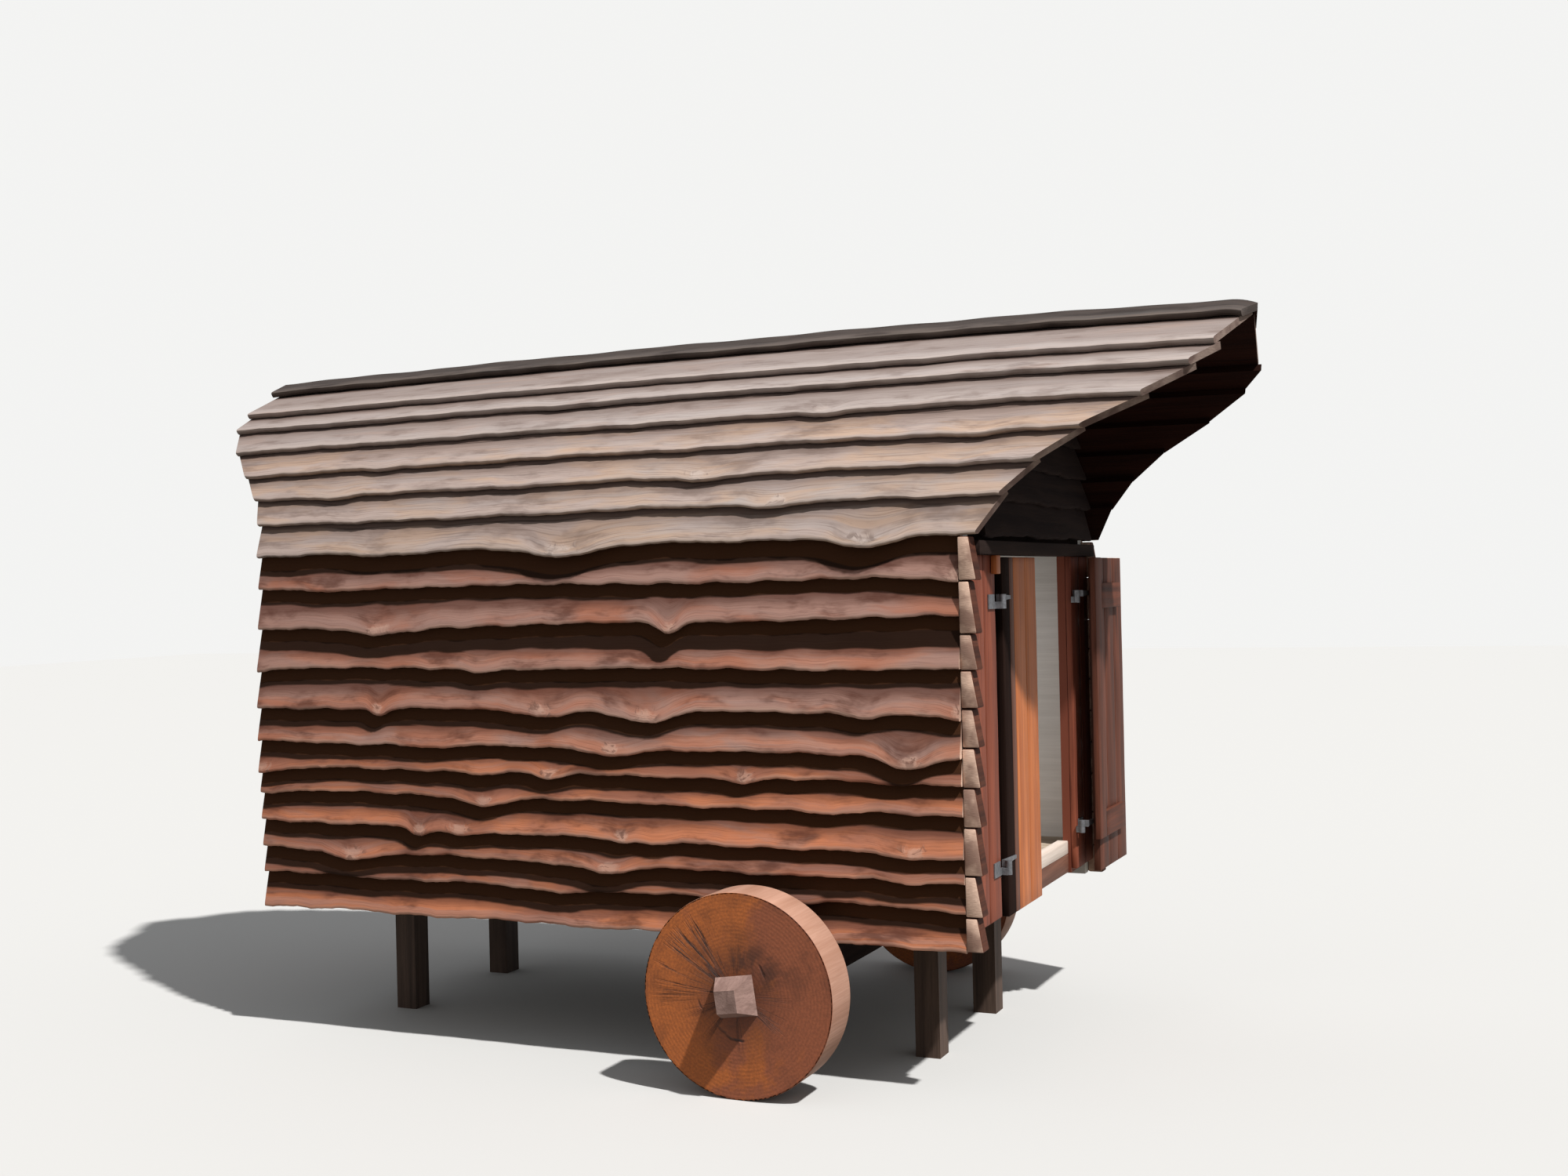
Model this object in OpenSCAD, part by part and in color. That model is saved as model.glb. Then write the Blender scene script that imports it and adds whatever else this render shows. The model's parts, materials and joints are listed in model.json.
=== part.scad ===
// Shepherds hut: a small timber hut clad in lapped waney-edge boards, with a curved
// pointed roof that reaches forward as a beak over a pair of doors, on plank-disc wheels.
// X runs forward to the door end, the right-hand side is -Y, Z is up from the ground.

/* [Body] */
// Length of the body, between the faces of its end walls
body_l = 2580; // [2300:20:2900]
// Width over the side boards at eaves level
body_w = 1500; // [1400:10:1640]
// Height of the side walls, from their lowest edge to the eaves
wall_h = 1217; // [1150:1:1300]
// Height of the lowest wall board above the ground
ground_gap = 435; // [400:5:500]
// Thickness of the wall panels behind the boards
panel_t = 45; // [30:5:60]

/* [Roof] */
// Rise of the roof, from the eaves to the ridge
roof_rise = 728; // [660:1:780]
// Lean of the roof inward from upright at the eaves, in degrees
eaves_lean = 15; // [8:1:20]
// Reach of the front beak past the front wall, at the ridge
front_over = 733; // [500:1:900]
// Reach of the roof past the rear wall, at the ridge
rear_over = 488; // [300:1:600]
// Thickness of the lining under the roof boards
vault_t = 24; // [18:1:30]

/* [Boards] */
// Thickness of every cladding and roof board
board_t = 24; // [18:1:28]
// How far each board laps over the one below
board_lap = 30; // [24:1:40]
// Depth of the waves along a waney edge
wave = 5; // [0:1:12]
// Length of one straight facet of a waney edge
wave_step = 72; // [40:4:120]

/* [Door] */
// Half the clear width of the doorway
door_half = 455; // [420:5:480]
// Thickness of the boards of a door leaf
leaf_t = 24; // [20:1:26]
// Height of the bottom of the leaves above the lowest wall edge
leaf_low = 36; // [30:1:60]
// Angle at which the left leaf stands open
leaf_open = 179; // [150:1:179]

/* [Running gear] */
// Diameter of the wheels
wheel_d = 610; // [560:10:640]
// Thickness of the wheels
wheel_t = 140; // [100:5:150]
// Distance of the axle behind the front wall
axle_back = 665; // [560:5:800]
// Gap between the wheels and the wall boards
wheel_gap = 60; // [50:5:90]

/* [Hidden] */

wood_red = "#9c6b50";
wood_grey = "#b9a895";
wood_cap = "#94897b";
wood_dark = "#5b4033";
wood_orange = "#c98a4e";
wood_pale = "#bcb6aa";
wood_wheel = "#b98a60";
steel_grey = "#9a9d9f";

seat = 0.3;
hw = body_w / 2;
front_x = (body_l + rear_over - front_over) / 2;
rear_x = front_x - body_l;
z0 = ground_gap;

// Side-wall boards: fractions of the wall height at the visible lower edges
side_n = 11;
side_low = [0, 0.095, 0.165, 0.236, 0.329, 0.401, 0.468, 0.567, 0.676, 0.793, 0.897];
// How much higher each lower edge is at the rear than at the front, mm
side_run = [2, 4, 6, 26, 12, 2, 8, 0, 6, -16, 12];
// Dips and knots along the lower edges: board, place along the length, drop, half length
side_knots = [
    [1, 0.45, 10, 150], [1, 0.86, -8, 120], [2, 0.15, 24, 130], [2, 0.54, 26, 130], [2, 0.93, 10, 90],
    [3, 0.26, 26, 50], [3, 0.32, 14, 120], [3, 0.56, 18, 60], [3, 0.61, 12, 60], [3, 0.94, 16, 90],
    [4, 0, 10, 150], [4, 0.36, 28, 90], [4, 0.83, 12, 90],
    [5, 0, 24, 200], [5, 0.36, 12, 90], [5, 0.46, 20, 80], [5, 0.73, 14, 70], [5, 0.92, 8, 60],
    [6, 0.29, 13, 80], [6, 0.55, 22, 80], [6, 0.94, 36, 90],
    [7, 0.2, 26, 45], [7, 0.45, 20, 100], [7, 0.6, 38, 110], [7, 0.89, 12, 70], [7, 1, 20, 70],
    [8, 0, 12, 60], [8, 0.36, 9, 80], [9, 0.2, 22, 150], [9, 0.63, 36, 50],
    [10, 0.12, 8, 120], [10, 1, 14, 110]
];
// The left wall carries the same boards turned end for end
turned_knots = [for (k = side_knots) [k[0], 1 - k[1], k[2], k[3]]];
// Short tapered boards that close the corner of the front wall, beside a casing
front_low = [0, 0.082, 0.181, 0.296, 0.39, 0.485, 0.579, 0.67, 0.756, 0.883];

pitch = (wall_h - board_lap) / side_n;
tilt = asin((board_t + 0.4) / pitch);
panel_y = hw - (pitch + board_lap) * tan(tilt) - board_t / cos(tilt);
room_y = panel_y - panel_t;
// The rear wall stands in from the ends of the side boards, so its own boards end flush with them
rear_face = rear_x + hw - panel_y;
rear_in = rear_face + panel_t;
// Top of the front corner boards, and how far their lower edges stand out from the front wall panel
corner_top = wall_h - board_t - 4;
corner_out = hw - panel_y;
// Front wall: a panel set back by the thickness of the casings, whose faces are at front_x
casing_t = 22;
front_t = 28;
face_x = front_x - casing_t;
front_in = face_x - front_t;

// Roof section: an arc from the eaves to a pointed ridge
chord_a = atan(hw / roof_rise);
half_turn = chord_a - eaves_lean;
roof_r = norm([hw, roof_rise]) / (2 * sin(half_turn));
arc_y = hw - roof_r * cos(eaves_lean);
arc_z = wall_h - roof_r * sin(eaves_lean);

// Roof boards: place of each lower edge along the arc, the last one being the ridge board
roof_n = 7;
roof_at = [0, 0.108, 0.205, 0.305, 0.417, 0.537, 0.639, 0.85, 1];
// Share of the front and rear reach at each of those lower edges
front_at = [0.045, 0.13, 0.245, 0.41, 0.645, 0.81, 0.89, 0.955, 1];
rear_at = [0, 0.055, 0.16, 0.34, 0.545, 0.705, 0.75, 0.86, 1];
roof_knots = [
    [0, 0.43, 14, 60], [0, 0.86, 16, 80], [1, 0.3, 12, 70], [2, 0.62, 14, 90],
    [3, 0.2, 12, 60], [4, 0.7, 14, 80], [5, 0.4, 12, 90], [6, 0.25, 10, 70], [6, 0.75, 12, 90]
];

deck_top = 130;
deck_t = 28;
sill_top = 148;
axle_z = wheel_d / 2;
axle_sq = 120;
arm_d = 70;
bore_play = 0.05;
wheel_in = hw + wheel_gap;
wheel_out = wheel_in + wheel_t;
hub_base = 120;
hub_tip = 66;
hub_l = 75;
hub_turn = 8;
bearer_y = 300;
bearer_w = 80;
post_w = 82;
post_in = 290;
sill_in = 31;
sill_back = 20;

head_h = 42;
head_out = 29;
head_low = wall_h - 67;
leaf_gap = 6;
leaf_top = head_low - leaf_gap;
// Each leaf: three boards from the middle to leaf_edge, on ledges and a hinge stile set behind them
leaf_n = 3;
leaf_edge = door_half - 71;
board_gap = 1.2;
ledge_t = 20;
ledge_h = 90;
ledge_in = 90;
stile_in = 24;
stile_low = sill_top + 8;
corner_w = 60;
casing_low = 50;
casing_out = hw - corner_w;
casing_w = casing_out - door_half;
pin_d = 10;
knuckle_d = 20;
knuckle_h = 22;
web = 10;
strap_t = 4;
strap_l = 145;
plate_in = 26;
plate_l = 58;
axis_x = front_x + 22;
axis_y = door_half - 5;
hinge_in = 135;
hinge_z = [leaf_low + hinge_in + 30, leaf_top - hinge_in];

function arc_pt(f) = let(a = eaves_lean + 2 * half_turn * f) [arc_y + roof_r * cos(a), arc_z + roof_r * sin(a)];
function unit(v) = v / norm(v);
function out_of(d) = [d[1], -d[0]];
ridge_pt = [0, wall_h + roof_rise];

// Direction up the slope of roof board i; the ridge board, i = roof_n, runs to the ridge
function slope(i) = i == roof_n ? unit(ridge_pt - arc_pt(roof_at[i])) : unit(roof_top(i) - arc_pt(roof_at[i]));
// Upper end of the outer face of roof board i, tucked under the next board
function roof_top(i) =
    let(d = slope(i + 1), p = arc_pt(roof_at[i + 1]))
    let(lap = i == roof_n - 1 ? norm(ridge_pt - p) - board_t * 1.4 : board_lap)
    p + lap * d - (board_t + 0.4) * out_of(d);
function lean(d) = atan2(-d[0], d[1]);
slopes = [for (i = [0:roof_n]) slope(i)];
tops = [for (i = [0:roof_n - 1]) roof_top(i)];
seats = [for (i = [0:roof_n - 1]) tops[i] - (board_t + seat) * out_of(slopes[i])];
// Height at which the slope under the top board meets the middle
arch_tip = seats[roof_n - 1][1] - seats[roof_n - 1][0] * slopes[roof_n - 1][1] / slopes[roof_n - 1][0];

function sum(v, i = 0) = i < len(v) ? v[i] + sum(v, i + 1) : 0;
// Drop of a waney edge below its mean line, at place f of length len_mm on board i
function waney(i, f, len_mm, knots, ph) =
    wave * (0.6 * sin(360 * f * len_mm / (640 + 60 * i) + 97 * i + ph)
        + 0.4 * sin(360 * f * len_mm / (270 - 9 * i) + 53 * i + 2 * ph))
    + sum([for (k = knots) if (k[0] == i) k[2] * exp(-pow((f - k[1]) * len_mm / k[3], 2))]);

// A board seen square on: a waney lower edge from xa to xb, a straight upper edge from xc to xd
module board_outline(i, xa, xb, xc, xd, va, vb, top, knots, ph) {
    len_mm = xb - xa;
    n = max(4, round(len_mm / wave_step));
    low = [for (j = [0:n]) let(f = j / n) [xa + f * len_mm, va + f * (vb - va) - waney(i, f, len_mm, knots, ph)]];
    polygon(concat(low, [[xd, top], [xc, top]]));
}

// Lays a flat board against a slope that leans inward by a degrees; p is on its outer face
module lay(p, a) {
    translate([0, p[0], p[1]])
        rotate([90 + a, 0, 0])
            linear_extrude(board_t)
                children();
}

// One wall of lapped boards facing +Y, on a panel whose face is at y, from xa to xb
module lapped_wall(y, xa, xb, lows, runs, knots, ph) {
    cut = 1 / cos(tilt);
    sink = board_t * tan(tilt);
    for (i = [0:len(lows) - 1]) {
        top = board_lap + (i + 1) * pitch;
        p = [y + seat + board_t * cos(tilt), top + board_t * sin(tilt)];
        va = (lows[i] + runs[i] / 2 - top) * cut - sink;
        vb = (lows[i] - runs[i] / 2 - top) * cut - sink;
        lay(p, tilt)
            board_outline(i, xa, xb, xa, xb, va, vb, 0, knots, ph);
    }
}

module side_cladding(knots, ph) {
    color(wood_red)
        translate([0, 0, z0])
            lapped_wall(panel_y, rear_x, face_x, side_low * wall_h, side_run, knots, ph);
}

// Stack of short tapered boards between a casing and the corner, on the left half of the front wall
module front_boards() {
    n = len(front_low);
    steps = [for (i = [0:n - 1]) let(top = i < n - 1 ? front_low[i + 1] * wall_h : corner_top)
        each [[corner_out, front_low[i] * wall_h], [corner_out - board_t, top]]];
    color(wood_red)
        translate([face_x + seat, hw, z0])
            rotate([90, 0, 0])
                linear_extrude(hw - casing_out - 0.5)
                    polygon(concat([[0, 0]], steps, [[0, corner_top]]));
}

// Half outline of the space below the roof boards, trimmed by m; y across, z up
function arch_side(m, low) =
    concat([[room_y - m, low], [room_y - m, wall_h + m], [panel_y - m, wall_h + m]], [for (s = seats) [s[0] - m, s[1] - m]]);

// The whole outline, with its heights taken from z on and stretched by k
module arch_area(m, low, z = 0, k = 1) {
    half = [for (p = arch_side(m, low)) [p[0], (p[1] - z) * k]];
    tip = [0, (arch_tip - m - z) * k];
    polygon(concat(half, [tip], [for (i = [len(half) - 1:-1:0]) [-half[i][0], half[i][1]]]));
}

// Stands a drawing of y and z up as a slab from xa to xb
module slab(xa, xb) {
    translate([xa, 0, z0])
        rotate([90, 0, 90])
            linear_extrude(xb - xa)
                children();
}

// Lapped boards of an end wall facing +Y, from low up, cut to the arch of the roof
module end_boards(n, low, ph) {
    for (i = [0:n - 1]) {
        top = low + board_lap + (i + 1) * pitch;
        cut = 1 / cos(tilt);
        v = -(pitch + board_lap) * cut - board_t * tan(tilt) + 4;
        lay([seat + board_t * cos(tilt), top + board_t * sin(tilt)], tilt)
            intersection() {
                board_outline(i, -hw, hw, -hw, hw, v, v, 0, [], ph);
                arch_area(10, -80, top + board_t * sin(tilt), cut);
            }
    }
}

module floor_deck() {
    color(wood_pale)
        translate([rear_in + seat, seat - room_y, z0 + deck_top - deck_t])
            cube([front_in - sill_back - rear_in - 2 * seat, 2 * (room_y - seat), deck_t]);
}

module bearer(s) {
    color(wood_dark)
        translate([rear_in, s * bearer_y - bearer_w / 2, axle_z + axle_sq / 2])
            cube([front_x - post_in + post_w - rear_in, bearer_w, z0 + deck_top - deck_t - axle_z - axle_sq / 2]);
}

module axle_beam() {
    color(wood_dark) {
        translate([front_x - axle_back - axle_sq / 2, 10 - wheel_in, axle_z - axle_sq / 2])
            cube([axle_sq, 2 * wheel_in - 20, axle_sq]);
        translate([front_x - axle_back, 0, axle_z])
            rotate([90, 0, 0])
                cylinder(h = 2 * (wheel_out - 20), d = arm_d, center = true, $fn = 64);
    }
}

module post(x, s) {
    color(wood_dark)
        translate([x - post_w / 2, s * bearer_y - post_w / 2, 0])
            cube([post_w, post_w, axle_z + axle_sq / 2]);
}

module wheel(s) {
    color(wood_wheel)
        translate([front_x - axle_back, s * (wheel_in + wheel_t / 2), axle_z])
            rotate([90, 0, 0])
                difference() {
                    cylinder(h = wheel_t, d = wheel_d, center = true, $fn = 128);
                    translate([0, 0, s * 10])
                        cylinder(h = wheel_t - 15, d = arm_d + 2 * bore_play, center = true, $fn = 64);
                }
}

module hub_block(s) {
    a = hub_base / 2;
    b = hub_tip / 2;
    pts = [for (q = [[a, 0], [b, hub_l]]) for (c = [[-1, -1], [1, -1], [1, 1], [-1, 1]]) [c[0] * q[0], c[1] * q[0], q[1]]];
    color(wood_pale)
        translate([front_x - axle_back, s * wheel_out, axle_z])
            rotate([-s * 90, s * hub_turn, 0])
                polyhedron(pts, [[0, 1, 2, 3], [7, 6, 5, 4], [4, 5, 1, 0], [5, 6, 2, 1], [6, 7, 3, 2], [7, 4, 0, 3]]);
}

module wall(s) {
    y = s > 0 ? room_y : -panel_y;
    color(wood_pale)
        translate([rear_x, y, z0])
            cube([face_x - rear_x, panel_t, wall_h]);
}

// Half of the boarded vault that lines the roof and carries its boards
module vault() {
    centre = [arc_y, arc_z];
    outer = concat([[panel_y, wall_h]], seats);
    inner = [for (i = [roof_n - 1:-1:0]) seats[i] - vault_t * unit(seats[i] - centre)];
    color(wood_pale)
        slab(rear_in, front_in)
            polygon(concat(outer, [[seat / 2, arch_tip], [seat / 2, arch_tip - vault_t]], inner, [[panel_y - vault_t, wall_h]]));
}

module roof_boards(ph) {
    color(wood_grey)
        translate([0, 0, z0])
            for (i = [0:roof_n - 1]) {
                p = arc_pt(roof_at[i]);
                w = norm(tops[i] - p);
                g = w / norm(arc_pt(roof_at[i + 1]) - p);
                fa = front_over * front_at[i];
                fb = front_over * min(front_at[i + 1] + 0.02, front_at[i] + g * (front_at[i + 1] - front_at[i]));
                ra = rear_over * rear_at[i];
                rb = rear_over * (rear_at[i] + min(1.2, g) * (rear_at[i + 1] - rear_at[i]));
                lay(p, lean(slopes[i]))
                    board_outline(i, rear_x - ra, front_x + fa, rear_x - rb, front_x + fb, 0, 0, w, roof_knots, ph);
            }
}

module ridge_board(ph) {
    p = arc_pt(roof_at[roof_n]);
    w = norm(ridge_pt - p);
    fa = front_over * front_at[roof_n];
    ra = rear_over * rear_at[roof_n];
    trim = w + board_t;
    color(wood_cap)
        translate([0, 0, z0])
            difference() {
                lay(p, lean(slopes[roof_n]))
                    board_outline(roof_n, rear_x - ra, front_x + fa, rear_x - rear_over, front_x + front_over, 0, 0, w + board_t, [], ph);
                translate([rear_x - rear_over - trim, seat / 2 - trim, ridge_pt[1] - trim])
                    cube([body_l + rear_over + front_over + 2 * trim, trim, 2 * trim]);
            }
}

module rear_wall() {
    color(wood_pale)
        slab(rear_face, rear_in)
            arch_area(seat, 0);
}

module rear_cladding() {
    color(wood_red)
        translate([rear_face, 0, z0])
            rotate([0, 0, 90])
                end_boards(17, 0, 40);
}

module front_gable() {
    color(wood_dark)
        slab(front_in, face_x)
            arch_area(seat, head_low);
}

module gable_cladding() {
    color(wood_dark)
        translate([face_x, 0, z0])
            rotate([0, 0, -90])
                end_boards(6, head_low + head_h + 12, 70);
}

// Front wall panel beside the doorway
module jamb() {
    color(wood_red)
        translate([front_in, door_half, z0 + leaf_low])
            cube([front_t, room_y - seat - door_half, head_low - leaf_low]);
}

module casing() {
    color(wood_red)
        translate([face_x, door_half, z0 + casing_low])
            cube([casing_t, casing_w, head_low - casing_low]);
}

module door_head() {
    color(wood_dark)
        translate([face_x, -casing_out, z0 + head_low])
            cube([casing_t + head_out, 2 * casing_out, head_h]);
}

module door_sill() {
    color(wood_pale)
        translate([front_in - sill_back, seat - door_half, z0 + deck_top - deck_t])
            cube([front_x - sill_in - front_in + sill_back, 2 * (door_half - seat), sill_top - deck_top + deck_t]);
}

// Riser below the sill, with its back flush with the front wall panel
module base_board() {
    color(wood_red)
        translate([front_in, seat - door_half, z0 + leaf_low])
            cube([front_x - sill_in - front_in, 2 * (door_half - seat), deck_top - deck_t - leaf_low]);
}

// Places what belongs to the left leaf in its open position
module opened() {
    translate([axis_x, axis_y, 0])
        rotate([0, 0, leaf_open])
            translate([-axis_x, -axis_y, 0])
                children();
}

// Boards of the left leaf as it closes the doorway; the right one is its mirror image
module leaf() {
    step = (leaf_edge - leaf_gap / 2) / leaf_n;
    color(wood_orange)
        for (i = [0:leaf_n - 1])
            translate([front_x - leaf_t, leaf_gap / 2 + i * step, z0 + leaf_low])
                cube([leaf_t, step - board_gap, leaf_top - leaf_low]);
}

// Two ledges and a hinge stile, which the boards of a leaf are fixed to
module ledges() {
    x = front_x - leaf_t - seat - ledge_t;
    color(wood_dark)
        union() {
            translate([x, leaf_edge - stile_in, z0 + stile_low])
                cube([ledge_t, door_half - leaf_gap - leaf_edge + stile_in, leaf_top - stile_low]);
            for (z = hinge_z)
                translate([x, ledge_in, z0 + z - ledge_h / 2])
                    cube([ledge_t, leaf_edge - ledge_in, ledge_h]);
        }
}

// Fixed half of each hinge: a plate on the casing and a web out to the knuckle and its pin
module hinge_plates() {
    color(steel_grey)
        for (z = hinge_z)
            translate([0, 0, z0 + z - knuckle_h]) {
                translate([front_x, axis_y + plate_in, 0])
                    cube([strap_t, plate_l, 2 * knuckle_h]);
                translate([front_x, axis_y + web, 0])
                    cube([strap_t, plate_in - web + 1, knuckle_h - 1]);
                translate([front_x, axis_y, 0])
                    cube([axis_x - front_x, web + strap_t, knuckle_h - 1]);
                translate([axis_x, axis_y, 0]) {
                    cylinder(h = knuckle_h - 1, d = knuckle_d, $fn = 48);
                    cylinder(h = 2 * knuckle_h, d = pin_d, $fn = 48);
                }
            }
}

// Moving half of each hinge: a knuckle on the pin and a tapered strap across the face of the leaf
module hinge_straps() {
    color(steel_grey)
        for (z = hinge_z)
            translate([axis_x, axis_y, z0 + z - 0.5])
                difference() {
                    union() {
                        cylinder(h = knuckle_h, d = knuckle_d, $fn = 48);
                        translate([front_x - axis_x + seat, -web, 0])
                            cube([axis_x - front_x - seat, web, knuckle_h]);
                        translate([front_x - axis_x + seat, 0, 0])
                            rotate([90, 0, 90])
                                linear_extrude(strap_t)
                                    polygon([[0, 0], [0, knuckle_h], [-strap_l, knuckle_h * 0.75], [-strap_l, knuckle_h * 0.25]]);
                    }
                    translate([0, 0, -knuckle_h])
                        cylinder(h = 3 * knuckle_h, d = pin_d + 2 * bore_play, $fn = 48);
                }
}

floor_deck();
bearer(1);  // left_bearer
bearer(-1);  // right_bearer
axle_beam();
post(front_x - post_in, 1);  // front_left_post
post(front_x - post_in, -1);  // front_right_post
post(rear_x + post_in, 1);  // rear_left_post
post(rear_x + post_in, -1);  // rear_right_post
wheel(1);  // left_wheel
wheel(-1);  // right_wheel
hub_block(1);  // left_hub_block
hub_block(-1);  // right_hub_block
wall(1);  // left_wall
wall(-1);  // right_wall
side_cladding(turned_knots, 0);  // left_cladding
mirror([0, 1, 0]) side_cladding(side_knots, 70);  // right_cladding
vault();  // left_vault
mirror([0, 1, 0]) vault();  // right_vault
roof_boards(0);  // left_roof_boards
mirror([0, 1, 0]) roof_boards(110);  // right_roof_boards
ridge_board(20);  // left_ridge_board
mirror([0, 1, 0]) ridge_board(150);  // right_ridge_board
rear_wall();
rear_cladding();
front_gable();
gable_cladding();
jamb();  // left_jamb
mirror([0, 1, 0]) jamb();  // right_jamb
front_boards();  // left_front_boards
mirror([0, 1, 0]) front_boards();  // right_front_boards
casing();  // left_casing
mirror([0, 1, 0]) casing();  // right_casing
door_head();
door_sill();
base_board();
opened() leaf();  // left_leaf
mirror([0, 1, 0]) leaf();  // right_leaf
opened() ledges();  // left_ledges
mirror([0, 1, 0]) ledges();  // right_ledges
hinge_plates();  // left_hinge_plates
mirror([0, 1, 0]) hinge_plates();  // right_hinge_plates
opened() hinge_straps();  // left_hinge_straps
mirror([0, 1, 0]) hinge_straps();  // right_hinge_straps
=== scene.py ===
"""Shepherds hut: waney-edge boards, timbers, wheels and hinges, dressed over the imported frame.

Sizes are in millimetres, as in the part's source, and turn to metres where a mesh is made.
X runs forward to the doors, the right-hand side is -Y, and Z is up from the ground.
"""

from __future__ import annotations

import json
import logging
import math
import random
from collections.abc import Callable, Sequence
from dataclasses import dataclass
from enum import Enum
from functools import partial

import bpy
import numpy as np
from mathutils import Matrix, Vector

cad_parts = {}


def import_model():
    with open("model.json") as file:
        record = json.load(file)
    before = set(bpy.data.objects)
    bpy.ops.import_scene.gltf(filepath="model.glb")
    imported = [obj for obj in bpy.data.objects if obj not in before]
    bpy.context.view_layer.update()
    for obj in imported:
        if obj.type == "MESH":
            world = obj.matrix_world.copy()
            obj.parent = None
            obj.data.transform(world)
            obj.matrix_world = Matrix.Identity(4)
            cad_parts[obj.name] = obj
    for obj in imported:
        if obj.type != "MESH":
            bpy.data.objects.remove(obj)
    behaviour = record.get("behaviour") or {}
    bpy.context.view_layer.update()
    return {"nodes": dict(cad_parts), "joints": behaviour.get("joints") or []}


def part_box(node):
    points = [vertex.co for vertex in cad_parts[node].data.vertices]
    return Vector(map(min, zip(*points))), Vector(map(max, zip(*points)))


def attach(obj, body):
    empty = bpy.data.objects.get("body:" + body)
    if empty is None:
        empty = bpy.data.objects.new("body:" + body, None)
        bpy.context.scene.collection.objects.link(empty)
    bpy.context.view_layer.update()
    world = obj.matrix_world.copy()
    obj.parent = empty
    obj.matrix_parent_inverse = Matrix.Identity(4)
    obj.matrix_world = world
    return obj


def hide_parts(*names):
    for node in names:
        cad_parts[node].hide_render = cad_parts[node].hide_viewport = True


MM = 0.001  # metres
AXIS_Y, AXIS_Z = 1, 2
LOG = logging.getLogger("hut")
Span = tuple[float, float]
Colour = tuple[float, float, float]
Knots = Sequence[tuple[int, float, float, float]]  # row, place along it, depth and half width in mm


class Term:
    """A socket that takes part in Python arithmetic, each operation adding a Math node."""

    def __init__(self, tree: "Recipe", socket: bpy.types.NodeSocket) -> None:
        """Keep the tree and the socket."""
        self.tree = tree
        self.socket = socket

    def math(self, operation: str, *values: "Term | float") -> "Term":
        """Add a Math node on the given values."""
        return self.tree.node("ShaderNodeMath", {"operation": operation}, dict(enumerate(values)))

    def __add__(self, other: "Term | float") -> "Term":
        """Add."""
        return self.math("ADD", self, other)

    def __sub__(self, other: "Term | float") -> "Term":
        """Subtract."""
        return self.math("SUBTRACT", self, other)

    def __mul__(self, other: "Term | float") -> "Term":
        """Multiply."""
        return self.math("MULTIPLY", self, other)

    def __rsub__(self, other: "Term | float") -> "Term":
        """Subtract from a number."""
        return self.math("SUBTRACT", other, self)

    def __pow__(self, other: "Term | float") -> "Term":
        """Raise to a power."""
        return self.math("POWER", self, other)

    __radd__ = __add__
    __rmul__ = __mul__

    def unsigned(self) -> "Term":
        """The value without its sign."""
        return self.math("ABSOLUTE", self)

    def larger(self, other: "Term") -> "Term":
        """The larger of two values."""
        return self.math("MAXIMUM", self, other)

    def step(self, low: float, high: float) -> "Term":
        """Smooth step between two values, which may be in either order.

        Args:
            low: The value that gives 0.
            high: The value that gives 1.

        Returns:
            The step, 0 to 1.
        """
        settings = {"interpolation_type": "SMOOTHSTEP"}
        if low <= high:
            return self.tree.node("ShaderNodeMapRange", settings, {0: self, 1: low, 2: high})
        return 1 - self.step(high, low)


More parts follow.
